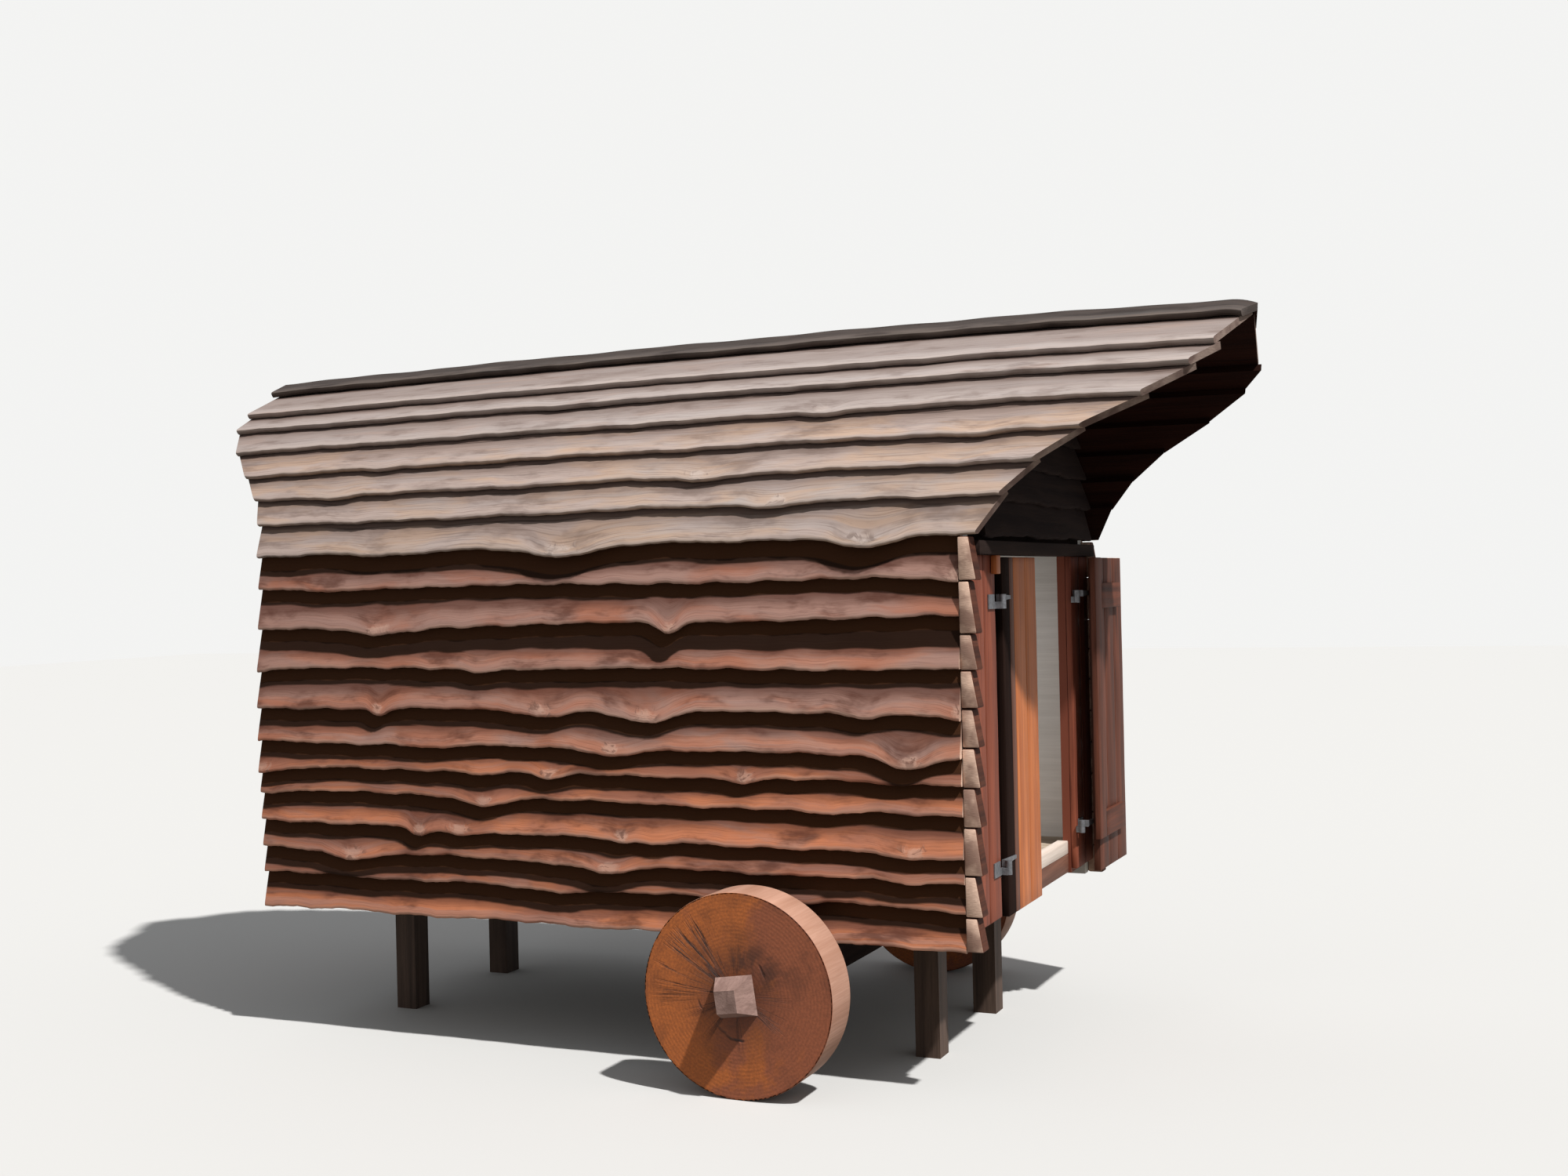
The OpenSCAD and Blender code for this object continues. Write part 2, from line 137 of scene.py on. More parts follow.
class Recipe:
    """A material under construction, with short ways to add its nodes."""

    def __init__(self, name: str) -> None:
        """Start a material that holds one Principled shader.

        Args:
            name: Its name.
        """
        self.material = bpy.data.materials.new(name)
        self.material.use_nodes = True
        self.nodes = self.material.node_tree.nodes
        self.shader = self.nodes["Principled BSDF"]

    def node(
        self, kind: str, settings: dict | None = None, sockets: dict | None = None, out: int | str = 0
    ) -> Term:
        """Add a node.

        Args:
            kind: Type of the node.
            settings: Its own settings, set first; "stops" holds a ramp's places and colours.
            sockets: Values or links of its inputs, by place or name.
            out: Place or name of the output that is used.

        Returns:
            The output, ready for arithmetic.
        """
        node = self.nodes.new(kind)
        for key, value in (settings or {}).items():
            if key != "stops":
                setattr(node, key, value)
                continue
            for _ in value[2:]:
                node.color_ramp.elements.new(0.5)
            for element, (place, colour) in zip(node.color_ramp.elements, value):
                element.position = place
                element.color = (*colour, 1)
        for key, value in (sockets or {}).items():
            self.feed(node.inputs[key], value)
        return Term(self, node.outputs[out])

    def feed(self, socket: bpy.types.NodeSocket, value: "Term | float | Sequence[float]") -> None:
        """Link a term to a socket, or set a plain value on it.

        Args:
            socket: The input.
            value: A term, a number, or a colour or vector.
        """
        if isinstance(value, Term):
            self.material.node_tree.links.new(value.socket, socket)
        elif socket.type == "RGBA" and len(value) == 3:
            socket.default_value = (*value, 1)
        else:
            socket.default_value = value

    def uv(self, scale: tuple[float, float, float]) -> Term:
        """Own UV map in metres, u along the grain, scaled."""
        source = self.node("ShaderNodeTexCoord", out="UV")
        return self.node("ShaderNodeMapping", None, {0: source, "Scale": scale})

    def place(self, scale: tuple[float, float, float], centre: Sequence[float] = (0, 0, 0)) -> Term:
        """Object coordinates taken from a centre, scaled.

        Args:
            scale: Scale of each axis.
            centre: The point that becomes the origin, metres.

        Returns:
            The coordinates.
        """
        source = self.node("ShaderNodeTexCoord", out="Object")
        shifted = self.node("ShaderNodeVectorMath", {"operation": "SUBTRACT"}, {0: source, 1: centre})
        return self.node("ShaderNodeMapping", None, {0: shifted, "Scale": scale})

    def separate(self, vector: Term, axis: int) -> Term:
        """One coordinate of a vector."""
        return self.node("ShaderNodeSeparateXYZ", None, {0: vector}, out=axis)

    def noise(self, vector: Term, scale: float = 1, detail: float = 3, rough: float = 0.55, bend: float = 0) -> Term:
        """Noise from 0 to 1.

        Args:
            vector: Where it is read.
            scale: How fine it is.
            detail: Number of finer layers.
            rough: Weight of the finer layers.
            bend: How far it is warped.

        Returns:
            The noise.
        """
        sockets = {"Vector": vector, "Scale": scale, "Detail": detail, "Roughness": rough, "Distortion": bend}
        return self.node("ShaderNodeTexNoise", None, sockets)

    def attribute(self, name: str) -> Term:
        """A number stored on the mesh."""
        return self.node("ShaderNodeAttribute", {"attribute_name": name}, out="Fac")

    def mix(self, share: Term, first: "Term | Colour", second: "Term | Colour") -> Term:
        """Mix two colours.

        Args:
            share: How much of the second colour shows, 0 to 1.
            first: First colour.
            second: Second colour.

        Returns:
            The mixed colour.
        """
        return self.node("ShaderNodeMix", {"data_type": "RGBA"}, {0: share, 6: first, 7: second}, out=2)

    def ramp(self, value: Term, *stops: tuple[float, Colour]) -> Term:
        """Colour ramp over a value."""
        return self.node("ShaderNodeValToRGB", {"stops": stops}, {0: value})

    def bump(self, height: Term, depth: float) -> Term:
        """Normal from a height, depth being its full size in metres."""
        return self.node("ShaderNodeBump", None, {"Height": height, "Distance": depth, "Strength": 1})

    def finish(self, **sockets: "Term | float | Sequence[float]") -> bpy.types.Material:
        """Feed the shader.

        Args:
            sockets: Values by the shader's socket names, with _ for a space.

        Returns:
            The finished material.
        """
        for name, value in sockets.items():
            self.feed(self.shader.inputs[name.replace("_", " ")], value)
        return self.material


class Grain(Enum):
    """Where a timber finish takes its grain direction from."""

    X = 0
    Y = 1
    Z = 2
    UV = 3


@dataclass(frozen=True)
class SawnBoard:
    """Outer face of a sawn waney-edge board: streaked and blotched, with painted shadow under the lap above.

    Reads the board's own UVs and its numbers: tone, knot, rim (metres above the waney edge), lap
    (metres below the edge of the board above) and stain (the same, less how much further the painted
    shadow reaches).

    The colours are the plain wood, its warm and cool patches, its dark streaks, which also darken the
    painted shade, its knots, which also give the painted highlight along the waney edge, and the painted
    shadow under the lap. streaks and smoke are the strengths of the fine streaks and the dark blotches;
    the strengths and reach of the painted shade and shadow follow them, the reach in metres.
    """

    name: str
    base: Colour
    warm: Colour
    cool: Colour
    deep: Colour
    knot: Colour
    # Colour of the painted shadow under the lap above
    shade: Colour = (0.042, 0.0145, 0.004)
    roughness: float = 0.75
    streaks: float = 0.25
    smoke: float = 0.68
    # Strength of the painted shade that darkens each board away from its lit lower edge
    shade_gradient: float = 0.6
    # Strength of the painted shadow under the lap above
    shadow_strength: float = 0.96
    # How far the painted shadow reaches below the edge of the board above, metres
    reach: float = 0.047

    # How far the painted shadow's border wanders with the grain and the patches, and its soft part, a fringe of
    # painted shade, in metres
    wander: Span = (0.014, 0.03)
    soft: float = 0.034
    # Share of the painted shadow's colour used where the sun reaches the board, which makes it darker there
    shadow_in_sun: float = 0.3
    # Painted shade toward the rear of the hut: from where the boards are darker toward it, metres
    rear_shade: Span = (0.9, -1.7)

    def material(self) -> bpy.types.Material:
        """Build the material.

        Returns:
            The material.
        """
        r = Recipe(self.name)
        tone, knot, rim, lap, stain = (r.attribute(key) for key in ("tone", "knot", "rim", "lap", "stain"))
        x = r.separate(r.place((1, 1, 1)), 0)
        fine = r.noise(r.uv((4, 240, 1)), detail=5, rough=0.65)
        bands = r.noise(r.uv((0.8, 30, 1)), detail=3, bend=0.4)
        patch = r.noise(r.uv((2.6, 10, 1)), detail=3, bend=0.5)
        smoke = r.noise(r.uv((4.5, 13, 1)), detail=4, rough=0.6)
        blob = r.noise(r.uv((24, 34, 1)), detail=3, rough=0.6, bend=0.8)
        colour = r.mix(patch.step(0.42, 0.58), self.base, self.warm)
        colour = r.mix((tone + (patch - 0.5) * 1.5).step(0.45, 0.8) * 0.85, colour, self.cool)
        colour = r.mix(bands.step(0.48, 0.62) * 0.45, colour, self.cool)
        colour = r.mix(smoke.step(0.5, 0.68) * self.smoke, colour, self.deep)
        heart = (knot + (blob - 0.5) * 1.5).step(0.4, 0.85)
        colour = r.mix(heart * 0.5, colour, self.knot)
        fleck = knot.step(0.12, 0.5) * blob.step(0.54, 0.64)
        colour = r.mix(fleck * 0.6, colour, self.deep)
        colour = r.mix(fine.step(0.52, 0.36) * self.streaks, colour, self.deep)
        # Painted shade: each board darkens away from its lit lower edge
        colour = r.mix((rim + (smoke - 0.5) * 0.08).step(0.015, 0.08) * self.shade_gradient, colour, self.deep)
        # Painted highlight: a pale streak along the lit waney edge
        pale = (rim + (bands - 0.5) * 0.02).step(0.016, 0.0) * patch.step(0.35, 0.55)
        colour = r.mix(pale * 0.5, colour, self.knot)
        # Painted shade, darker toward the rear
        colour = r.mix(x.step(*self.rear_shade) * 0.2, colour, self.deep)
        # Painted shadow under the lap above: stain trails the lap as the sun falls sideways
        covered = stain + (bands - 0.5) * self.wander[0] + (patch - 0.5) * self.wander[1]
        # A soft fringe of painted shade below the painted shadow
        colour = r.mix(covered.step(self.reach + self.soft, self.reach) * 0.45, colour, self.deep)
        # The painted shadow, made darker still where the sun reaches the board
        painted_shadow = covered.step(self.reach + 0.002, self.reach - 0.006) * self.shadow_strength
        shadow_in_sun = tuple(c * self.shadow_in_sun for c in self.shade)
        colour = r.mix(painted_shadow, colour, r.mix(lap.step(self.reach - 0.006, self.reach), self.shade, shadow_in_sun))
        height = fine * 0.4 + bands * 0.7 + heart * 0.4
        return r.finish(
            Base_Color=colour,
            Roughness=self.roughness + (fine - 0.5) * 0.25 + painted_shadow * 0.1,
            Specular_IOR_Level=0.12,
            Normal=r.bump(height, 0.0014),
        )


@dataclass(frozen=True)
class PlainTimber:
    """Planed or rough timber with grain along one direction.

    wear is how much lighter its worn patches get, and outdoors the X in metres behind which it stands
    in the open, with its colour there.
    """

    name: str
    light: Colour
    dark: Colour
    grain: Grain = Grain.UV
    roughness: float = 0.6
    coat: float = 0
    wear: float = 0.3
    shine: float = 0.12
    outdoors: tuple[float, Colour] | None = None

    def coords(self, r: Recipe, along: float, across: float) -> Term:
        """Coordinates stretched along the grain.

        Args:
            r: The material under construction.
            along: Scale along the grain.
            across: Scale across it.

        Returns:
            The coordinates.
        """
        if self.grain is Grain.UV:
            return r.uv((along, across, 1))
        scale = [across, across, across]
        scale[self.grain.value] = along
        return r.place(tuple(scale))

    def material(self) -> bpy.types.Material:
        """Build the material.

        Returns:
            The material.
        """
        r = Recipe(self.name)
        fine = r.noise(self.coords(r, 6, 190), detail=4, rough=0.6)
        bands = r.noise(self.coords(r, 1.2, 26), detail=3, bend=0.7)
        patch = r.noise(self.coords(r, 2.2, 6), detail=2)
        mid = tuple(a * 0.55 + b * 0.45 for a, b in zip(self.light, self.dark))
        colour = r.ramp(bands, (0.3, self.dark), (0.5, mid), (0.68, self.light))
        colour = r.mix(fine.step(0.6, 0.35) * 0.45, colour, self.dark)
        colour = r.mix(patch.step(0.5, 0.75) * self.wear, colour, tuple(min(1, c * 1.35) for c in self.light))
        if self.outdoors:
            start, brown = self.outdoors
            behind = r.separate(r.place((1, 1, 1)), 0).step(start, start - 0.002)
            colour = r.mix(behind, colour, r.mix(bands, brown, tuple(c * 0.4 for c in brown)))
        return r.finish(
            Base_Color=colour,
            Roughness=self.roughness + (fine - 0.5) * 0.2,
            Specular_IOR_Level=self.shine,
            Coat_Weight=self.coat,
            Coat_Roughness=0.2,
            Normal=r.bump(fine * 0.6 + bands * 0.4, 0.0012),
        )


@dataclass(frozen=True)
class EndGrain:
    """Cut end of a board, pale, with fine checks across it."""

    name: str
    light: Colour
    dark: Colour

    def material(self) -> bpy.types.Material:
        """Build the material.

        Returns:
            The material.
        """
        r = Recipe(self.name)
        wide = r.noise(r.place((11, 11, 11)), detail=3)
        saw = r.noise(r.place((60, 60, 520)), detail=3)
        colour = r.mix(wide.step(0.4, 0.62), self.light, self.dark)
        colour = r.mix(saw.step(0.62, 0.45) * 0.3, colour, self.dark)
        normal = r.bump(saw, 0.0008)
        return r.finish(Base_Color=colour, Roughness=0.85, Specular_IOR_Level=0.12, Normal=normal)


@dataclass(frozen=True)
class DiscTimber:
    """Cut face of a log disc: growth rings and dark checks that run out from the middle."""

    name: str
    centre: tuple[float, float, float]
    light: Colour = (0.50, 0.142, 0.036)
    warm: Colour = (0.33, 0.10, 0.046)
    deep: Colour = (0.075, 0.028, 0.017)
    crack: Colour = (0.012, 0.006, 0.005)
    # Growth rings in a metre of radius, times 2 pi
    rings: float = 560
    # Radius of the crack that follows a ring, metres
    shake: float = 0.125

    def material(self) -> bpy.types.Material:
        """Build the material.

        Returns:
            The material.
        """
        r = Recipe(self.name)
        spot = r.place((1, 1, 1), self.centre)
        x, z = r.separate(spot, 0), r.separate(spot, 2)
        wobble = r.noise(r.place((4, 4, 4), self.centre), detail=3)
        radius = (x * x + z * z) ** 0.5 + (wobble - 0.5) * 0.03
        rings = radius.math("SINE", radius * self.rings) * 0.5 + 0.5
        blotch = r.noise(r.place((5, 5, 5), self.centre), detail=4, bend=0.6)
        grit = r.noise(r.place((130, 130, 130), self.centre), detail=3)
        turn = x.math("ARCTAN2", z, x)
        circle = {0: turn.math("COSINE", turn), 1: turn.math("SINE", turn), 2: radius * 0.14}
        around = r.node("ShaderNodeCombineXYZ", None, circle)
        stain = r.noise(r.place((8, 8, 8), self.centre), detail=5, rough=0.65, bend=0.5)
        colour = r.mix((blotch + x * 0.55).step(0.42, 0.58), self.light, self.warm)
        colour = r.mix(stain.step(0.48, 0.66) * 0.35, colour, self.deep)
        colour = r.mix((radius + (blotch - 0.5) * 0.2).step(0.22, 0.05) * 0.65, colour, self.deep)
        colour = r.mix(rings * 0.12, colour, self.deep)
        colour = r.mix(grit.step(0.62, 0.4) * 0.25, colour, self.deep)
        soot = (x * -0.2 + z * 0.9 + (stain - 0.5) * 0.4).step(0.02, 0.1) * radius.step(0.24, 0.1)
        sector = (x * -0.85 + z * 0.52 - radius * 0.72).step(0.0, 0.03)
        checks = self.rays(r, around, 4.5, 0.016, radius.step(0.2, 0.08)) * 0.8
        checks = checks.larger(self.rays(r, around, 13.0, 0.05, radius.step(0.29, 0.22) * sector))
        shake = (radius - self.shake + (wobble - 0.5) * 0.1).unsigned().step(0.006, 0.001)
        checks = checks.larger(shake * blotch.step(0.5, 0.6))
        colour = r.mix(soot * stain.step(0.38, 0.52) * 0.9, colour, self.deep)
        colour = r.mix(checks * 0.95, colour, self.crack)
        height = rings * 0.08 + grit * 0.25 - checks * 1.6
        return r.finish(
            Base_Color=colour,
            Roughness=0.5 + grit * 0.2,
            Specular_IOR_Level=0.25,
            Coat_Weight=0.08,
            Coat_Roughness=0.35,
            Normal=r.bump(height, 0.002),
        )

    def rays(self, r: Recipe, around: Term, scale: float, width: float, reach: Term) -> Term:
        """Dark checks that run out along the radius.

        Args:
            r: The material under construction.
            around: Direction from the middle.
            scale: How closely the checks stand.
            width: How wide they open.
            reach: Where they may run, 0 to 1.

        Returns:
            Depth of the checks, 0 to 1.
        """
        ray = r.noise(around, scale=scale, detail=4, rough=0.7, bend=0.1) - 0.5
        split = r.noise(around, scale=scale * 0.45, detail=2, rough=0.5)
        return ray.unsigned().step(width, width * 0.25) * split.step(0.44, 0.56) * reach


@dataclass(frozen=True)
class DullSteel:
    """Galvanised steel with soft mottling."""

    name: str
    tint: Colour = (0.22, 0.22, 0.23)
    rust: Colour = (0.22, 0.13, 0.08)

    def material(self) -> bpy.types.Material:
        """Build the material.

        Returns:
            The material.
        """
        r = Recipe(self.name)
        cells = r.noise(r.place((90, 90, 90)), detail=3)
        spots = r.noise(r.place((35, 35, 35)), detail=4).step(0.62, 0.74)
        colour = r.mix(cells.step(0.35, 0.65), self.tint, tuple(c * 0.7 for c in self.tint))
        colour = r.mix(spots * 0.4, colour, self.rust)
        return r.finish(
            Base_Color=colour,
            Metallic=0.7 - spots * 0.5,
            Roughness=0.48 + cells * 0.2,
            Normal=r.bump(cells, 0.0005),
        )


class Finishes:
    """All materials of the hut but the wheels' faces, made once."""

    def __init__(self) -> None:
        """Build every material."""
        # Wall boards: painted shadow under each lap, painted shade away from the lit edge and toward the rear, and a
        # painted highlight along the waney edge
        self.wall = SawnBoard(
            "wall_board",
            base=(0.47, 0.190, 0.118),
            warm=(0.61, 0.218, 0.106),
            cool=(0.39, 0.245, 0.205),
            deep=(0.09, 0.030, 0.019),
            knot=(0.68, 0.44, 0.34),
        ).material()
        self.wall_back = self.timber("wall_board_back", (0.055, 0.026, 0.018), (0.02, 0.010, 0.008))
        # Roof boards: thin lines of painted shadow under each lap, with the same painted shade and highlight
        self.roof = SawnBoard(
            "roof_board",
            base=(0.41, 0.32, 0.28),
            warm=(0.45, 0.315, 0.235),
            cool=(0.37, 0.32, 0.30),
            deep=(0.12, 0.078, 0.062),
            knot=(0.52, 0.43, 0.38),
            shade=(0.13, 0.085, 0.07),
            shadow_strength=0.8,
            roughness=0.85,
            streaks=0.42,
            smoke=0.45,
            shade_gradient=0.38,
            reach=0.010,
        ).material()
        self.roof_back = self.timber("roof_board_back", (0.034, 0.012, 0.008), (0.012, 0.005, 0.004), 0.9, shine=0.03)
        # Near-black, painted shade: the boards over the doors stand in the shade of the roof's beak
        self.gable = self.timber("gable_board_painted_shade", (0.030, 0.019, 0.016), (0.012, 0.008, 0.008), 0.9, shine=0.04)
        self.cap = SawnBoard(
            "ridge_board",
            base=(0.10, 0.08, 0.07),
            warm=(0.12, 0.09, 0.075),
            cool=(0.085, 0.075, 0.07),
            deep=(0.03, 0.022, 0.019),
            knot=(0.16, 0.13, 0.11),
            roughness=0.85,
            streaks=0.6,
        ).material()
        self.board_end = EndGrain("board_end", (0.76, 0.52, 0.39), (0.33, 0.20, 0.15)).material()
        self.roof_end = EndGrain("roof_board_end", (0.30, 0.22, 0.18), (0.14, 0.09, 0.075)).material()
        # Dark red, painted shade: the front faces of the corner boards stand for the shade in the gaps between their
        # tapered ends
        self.corner = self.timber(
            "corner_timber", (0.13, 0.046, 0.027), (0.04, 0.015, 0.010), grain=Grain.Y, shine=0.06
        )
        self.red = self.timber("casing_timber", (0.30, 0.085, 0.045), (0.12, 0.032, 0.02), wear=0.2)
        self.orange = self.timber("door_timber", (0.60, 0.19, 0.058), (0.33, 0.092, 0.03), 0.5, coat=0.06)
        self.brown = self.timber("door_edge_timber", (0.21, 0.095, 0.062), (0.09, 0.04, 0.028))
        self.worn = self.timber("worn_door_timber", (0.16, 0.05, 0.028), (0.045, 0.018, 0.012))
        # Near-black, painted shadow: on the right leaf's outer strip and battens it stands for the shaded gap beside
        # the casing
        self.stile = self.timber("stile_timber", (0.022, 0.011, 0.008), (0.010, 0.005, 0.004), 0.9, shine=0.04)
        self.pale = self.timber("sill_timber", (0.72, 0.62, 0.54), (0.52, 0.42, 0.35))
        # Near-black, painted shade: the door head, the inner gable panel and the axle beam, which stand in shade
        self.dark = self.timber(
            "dark_timber", (0.035, 0.022, 0.018), (0.014, 0.009, 0.008), 0.9, grain=Grain.Y, shine=0.05
        )
        self.dark_x = self.timber("chassis_timber", (0.10, 0.06, 0.045), (0.04, 0.024, 0.018), grain=Grain.X)
        self.dark_z = self.timber("post_timber", (0.12, 0.078, 0.058), (0.05, 0.033, 0.026), grain=Grain.Z)
        inside = {"light": (0.82, 0.79, 0.74), "dark": (0.68, 0.65, 0.60), "wear": 0.15}
        self.lining = self.timber("lining_boards", **inside, grain=Grain.X, outdoors=(-1.32, (0.13, 0.05, 0.03)))
        self.lining_y = self.timber("end_lining_boards", **inside, grain=Grain.Y)
        self.floor = self.timber("floor_boards", (0.42, 0.34, 0.26), (0.28, 0.22, 0.16), grain=Grain.X)
        self.wheel_rim = self.timber("wheel_rim_timber", (0.47, 0.27, 0.195), (0.34, 0.175, 0.115), grain=Grain.Y)
        self.hub = self.timber("hub_timber", (0.34, 0.22, 0.185), (0.18, 0.11, 0.09), grain=Grain.Y)
        self.steel = DullSteel("hinge_steel").material()

    def timber(
        self, name: str, light: Colour, dark: Colour, roughness: float = 0.6, **rest: "float | Grain | tuple"
    ) -> bpy.types.Material:
        """Build the material of a plain timber.

        Args:
            name: Name of the finish.
            light: Its light grain.
            dark: Its dark grain.
            roughness: Its mean roughness.
            rest: Other fields of the finish.

        Returns:
            The material.
        """
        return PlainTimber(name, light, dark, roughness=roughness, **rest).material()


def unit(v: np.ndarray) -> np.ndarray:
    """A vector at length 1."""
    return v / np.linalg.norm(v)


@dataclass(frozen=True)
class HutSizes:
    """Main sizes of the hut and the section of its roof, as in the part's source.

    All are in millimetres but eaves_lean, in degrees, the numbers of rows and the shares: roof_at
    places the lower edges of the roof boards along its arc, and rear_at is how much of the rear reach
    they have. seat is the gap between a board and what it lies on, and end_gap the one round the
    boards of an end wall.
    """

    body_l: float = 2580
    half_w: float = 750
    wall_h: float = 1217
    ground_gap: float = 435
    panel_t: float = 45
    roof_rise: float = 728
    eaves_lean: float = 15
    front_over: float = 733
    rear_over: float = 488
    board_t: float = 24
    board_lap: float = 30
    wave: float = 5
    seat: float = 0.3
    casing_t: float = 22
    end_gap: float = 10
    head_low: float = 1150
    head_h: float = 42
    door_half: float = 455
    casing_w: float = 235
    rows: int = 11
    roof_rows: int = 7
    roof_at: tuple[float, ...] = (0, 0.108, 0.205, 0.305, 0.417, 0.537, 0.639, 0.85, 1)
    rear_at: tuple[float, ...] = (0, 0.055, 0.16, 0.34, 0.545, 0.705, 0.75, 0.86, 1)

    @property
    def front_x(self) -> float:
        """Face of the casings."""
        return (self.body_l + self.rear_over - self.front_over) / 2

    @property
    def rear_x(self) -> float:
        """Rear ends of the side boards."""
        return self.front_x - self.body_l

    @property
    def face_x(self) -> float:
        """Face of the front wall panel."""
        return self.front_x - self.casing_t

    @property
    def pitch(self) -> float:
        """Height shown by each wall board."""
        return (self.wall_h - self.board_lap) / self.rows

    @property
    def tilt(self) -> float:
        """Lean of the wall boards, in radians."""
        return math.asin((self.board_t + 0.4) / self.pitch)

    @property
    def panel_y(self) -> float:
        """Outer face of the side wall panels."""
        return self.half_w - (self.pitch + self.board_lap) * math.tan(self.tilt) - self.board_t / math.cos(self.tilt)

    @property
    def rear_face(self) -> float:
        """Outer face of the rear wall panel."""
        return self.rear_x + self.half_w - self.panel_y

    @property
    def ridge(self) -> np.ndarray:
        """Ridge point of the section: across, up."""
        return np.array([0, self.wall_h + self.roof_rise])

    def arc(self, share: float) -> np.ndarray:
        """Point of the roof arc, 0 at the eaves and 1 at the ridge.

        Args:
            share: Place along the arc.

        Returns:
            Across and up, mm.
        """
        half_turn = math.degrees(math.atan(self.half_w / self.roof_rise)) - self.eaves_lean
        radius = math.hypot(self.half_w, self.roof_rise) / (2 * math.sin(math.radians(half_turn)))
        lean = math.radians(self.eaves_lean)
        a = math.radians(self.eaves_lean + 2 * half_turn * share)
        centre = np.array([self.half_w - radius * math.cos(lean), self.wall_h - radius * math.sin(lean)])
        return centre + radius * np.array([math.cos(a), math.sin(a)])

    def slope(self, i: int) -> np.ndarray:
        """Direction up the slope of roof board i."""
        end = self.ridge if i == self.roof_rows else self.roof_top(i)
        return unit(end - self.arc(self.roof_at[i]))

    def roof_top(self, i: int) -> np.ndarray:
        """Upper end of the outer face of roof board i, tucked under the next board.

        Args:
            i: The board, 0 at the eaves.

        Returns:
            Across and up, mm.
        """
        d = self.slope(i + 1)
        p = self.arc(self.roof_at[i + 1])
        return p + self.tuck(i) * d - (self.board_t + 0.4) * np.array([d[1], -d[0]])

    def tuck(self, i: int) -> float:
        """How far roof board i reaches under the next board.

        Args:
            i: The board, 0 at the eaves.

        Returns:
            The length, mm.
        """
        if i < self.roof_rows - 1:
            return self.board_lap
        return float(np.linalg.norm(self.ridge - self.arc(self.roof_at[i + 1]))) - self.board_t * 1.4

    def half_at(self, z: float) -> float:
        """Half width of an end wall's boards at a height.

        Args:
            z: Height above the lowest board.

        Returns:
            The half width, which narrows under the roof.
        """
        if z < self.wall_h:
            return self.panel_y - self.panel_t - self.end_gap
        seats = []
        for i in range(self.roof_rows):
            d = self.slope(i)
            seats.append(self.roof_top(i) - (self.board_t + self.seat) * np.array([d[1], -d[0]]) - self.end_gap)
        d = self.slope(self.roof_rows - 1)
        tip = seats[-1][1] - seats[-1][0] * d[1] / d[0]
        line = [(self.panel_y - self.end_gap, self.wall_h)] + [tuple(s) for s in seats] + [(0, tip)]
        return float(np.interp(z, [p[1] for p in line], [p[0] for p in line]))


SIZES = HutSizes()
EAVES_REACH = 0.045  # share of the front reach at the eaves
# Dips of the roof boards' lower edges
ROOF_KNOTS: Knots = (
    (0, 0.2, 10, 150), (0, 0.47, 34, 170), (0, 0.866, 42, 115), (1, 0.3, 12, 70), (1, 0.74, 14, 110),
    (2, 0.12, 10, 80), (2, 0.62, 16, 90), (3, 0.2, 12, 60), (3, 0.9, 12, 80),
    (4, 0.7, 14, 80), (5, 0.4, 12, 90), (6, 0.25, 10, 70), (6, 0.75, 12, 90),
)  # fmt: skip
# Turns of the waves of the roof boards and of the ridge board, in degrees
ROOF_PHASES = {"left": (0, 20), "right": (110, 150)}


class Facing(Enum):
    """The wall that a set of boards faces out of."""

    LEFT = "left"
    RIGHT = "right"
    REAR = "rear"
    FRONT = "front left"  # drawn from its left end

    def world(self, x: np.ndarray, y: np.ndarray, z: np.ndarray) -> np.ndarray:
        """Place points of a wall that is drawn facing +Y.

        Args:
            x: Places along the wall.
            y: Distances out of it.
            z: Heights above the lowest board.

        Returns:
            Points in metres, one a row.
        """
        z = z + SIZES.ground_gap
        spots = {
            Facing.LEFT: (x, y, z),
            Facing.RIGHT: (x, -y, z),
            Facing.REAR: (SIZES.rear_face - y, x, z),
            Facing.FRONT: (SIZES.face_x + y, -x, z),
        }[self]
        return np.stack(spots, axis=1) * MM


def deselect() -> None:
    """Leave nothing selected, and object mode on."""
    if bpy.context.object and bpy.context.object.mode != "OBJECT":
        bpy.ops.object.mode_set(mode="OBJECT")
    bpy.ops.object.select_all(action="DESELECT")


def activate(obj: bpy.types.Object) -> None:
    """Select one object alone and make it active.

    Args:
        obj: The object.
    """
    deselect()
    obj.select_set(True)
    bpy.context.view_layer.objects.active = obj


def apply_place(obj: bpy.types.Object) -> None:
    """Move an object's place into its mesh."""
    activate(obj)
    bpy.ops.object.transform_apply(location=True, rotation=True, scale=True)


def points_of(obj: bpy.types.Object) -> np.ndarray:
    """The vertices of a mesh object, one a row.

    Args:
        obj: The object.

    Returns:
        Their coordinates.
    """
    co = np.empty(len(obj.data.vertices) * 3)
    obj.data.vertices.foreach_get("co", co)
    return co.reshape(-1, 3)


def set_points(obj: bpy.types.Object, points: np.ndarray) -> None:
    """Move the vertices of a mesh object."""
    obj.data.vertices.foreach_set("co", points.ravel())
    obj.data.update()


def store(obj: bpy.types.Object, name: str, values: np.ndarray) -> None:
    """Keep a number for each vertex."""
    layer = obj.data.attributes.new(name, "FLOAT", "POINT")
    layer.data.foreach_set("value", np.asarray(values, np.float32))


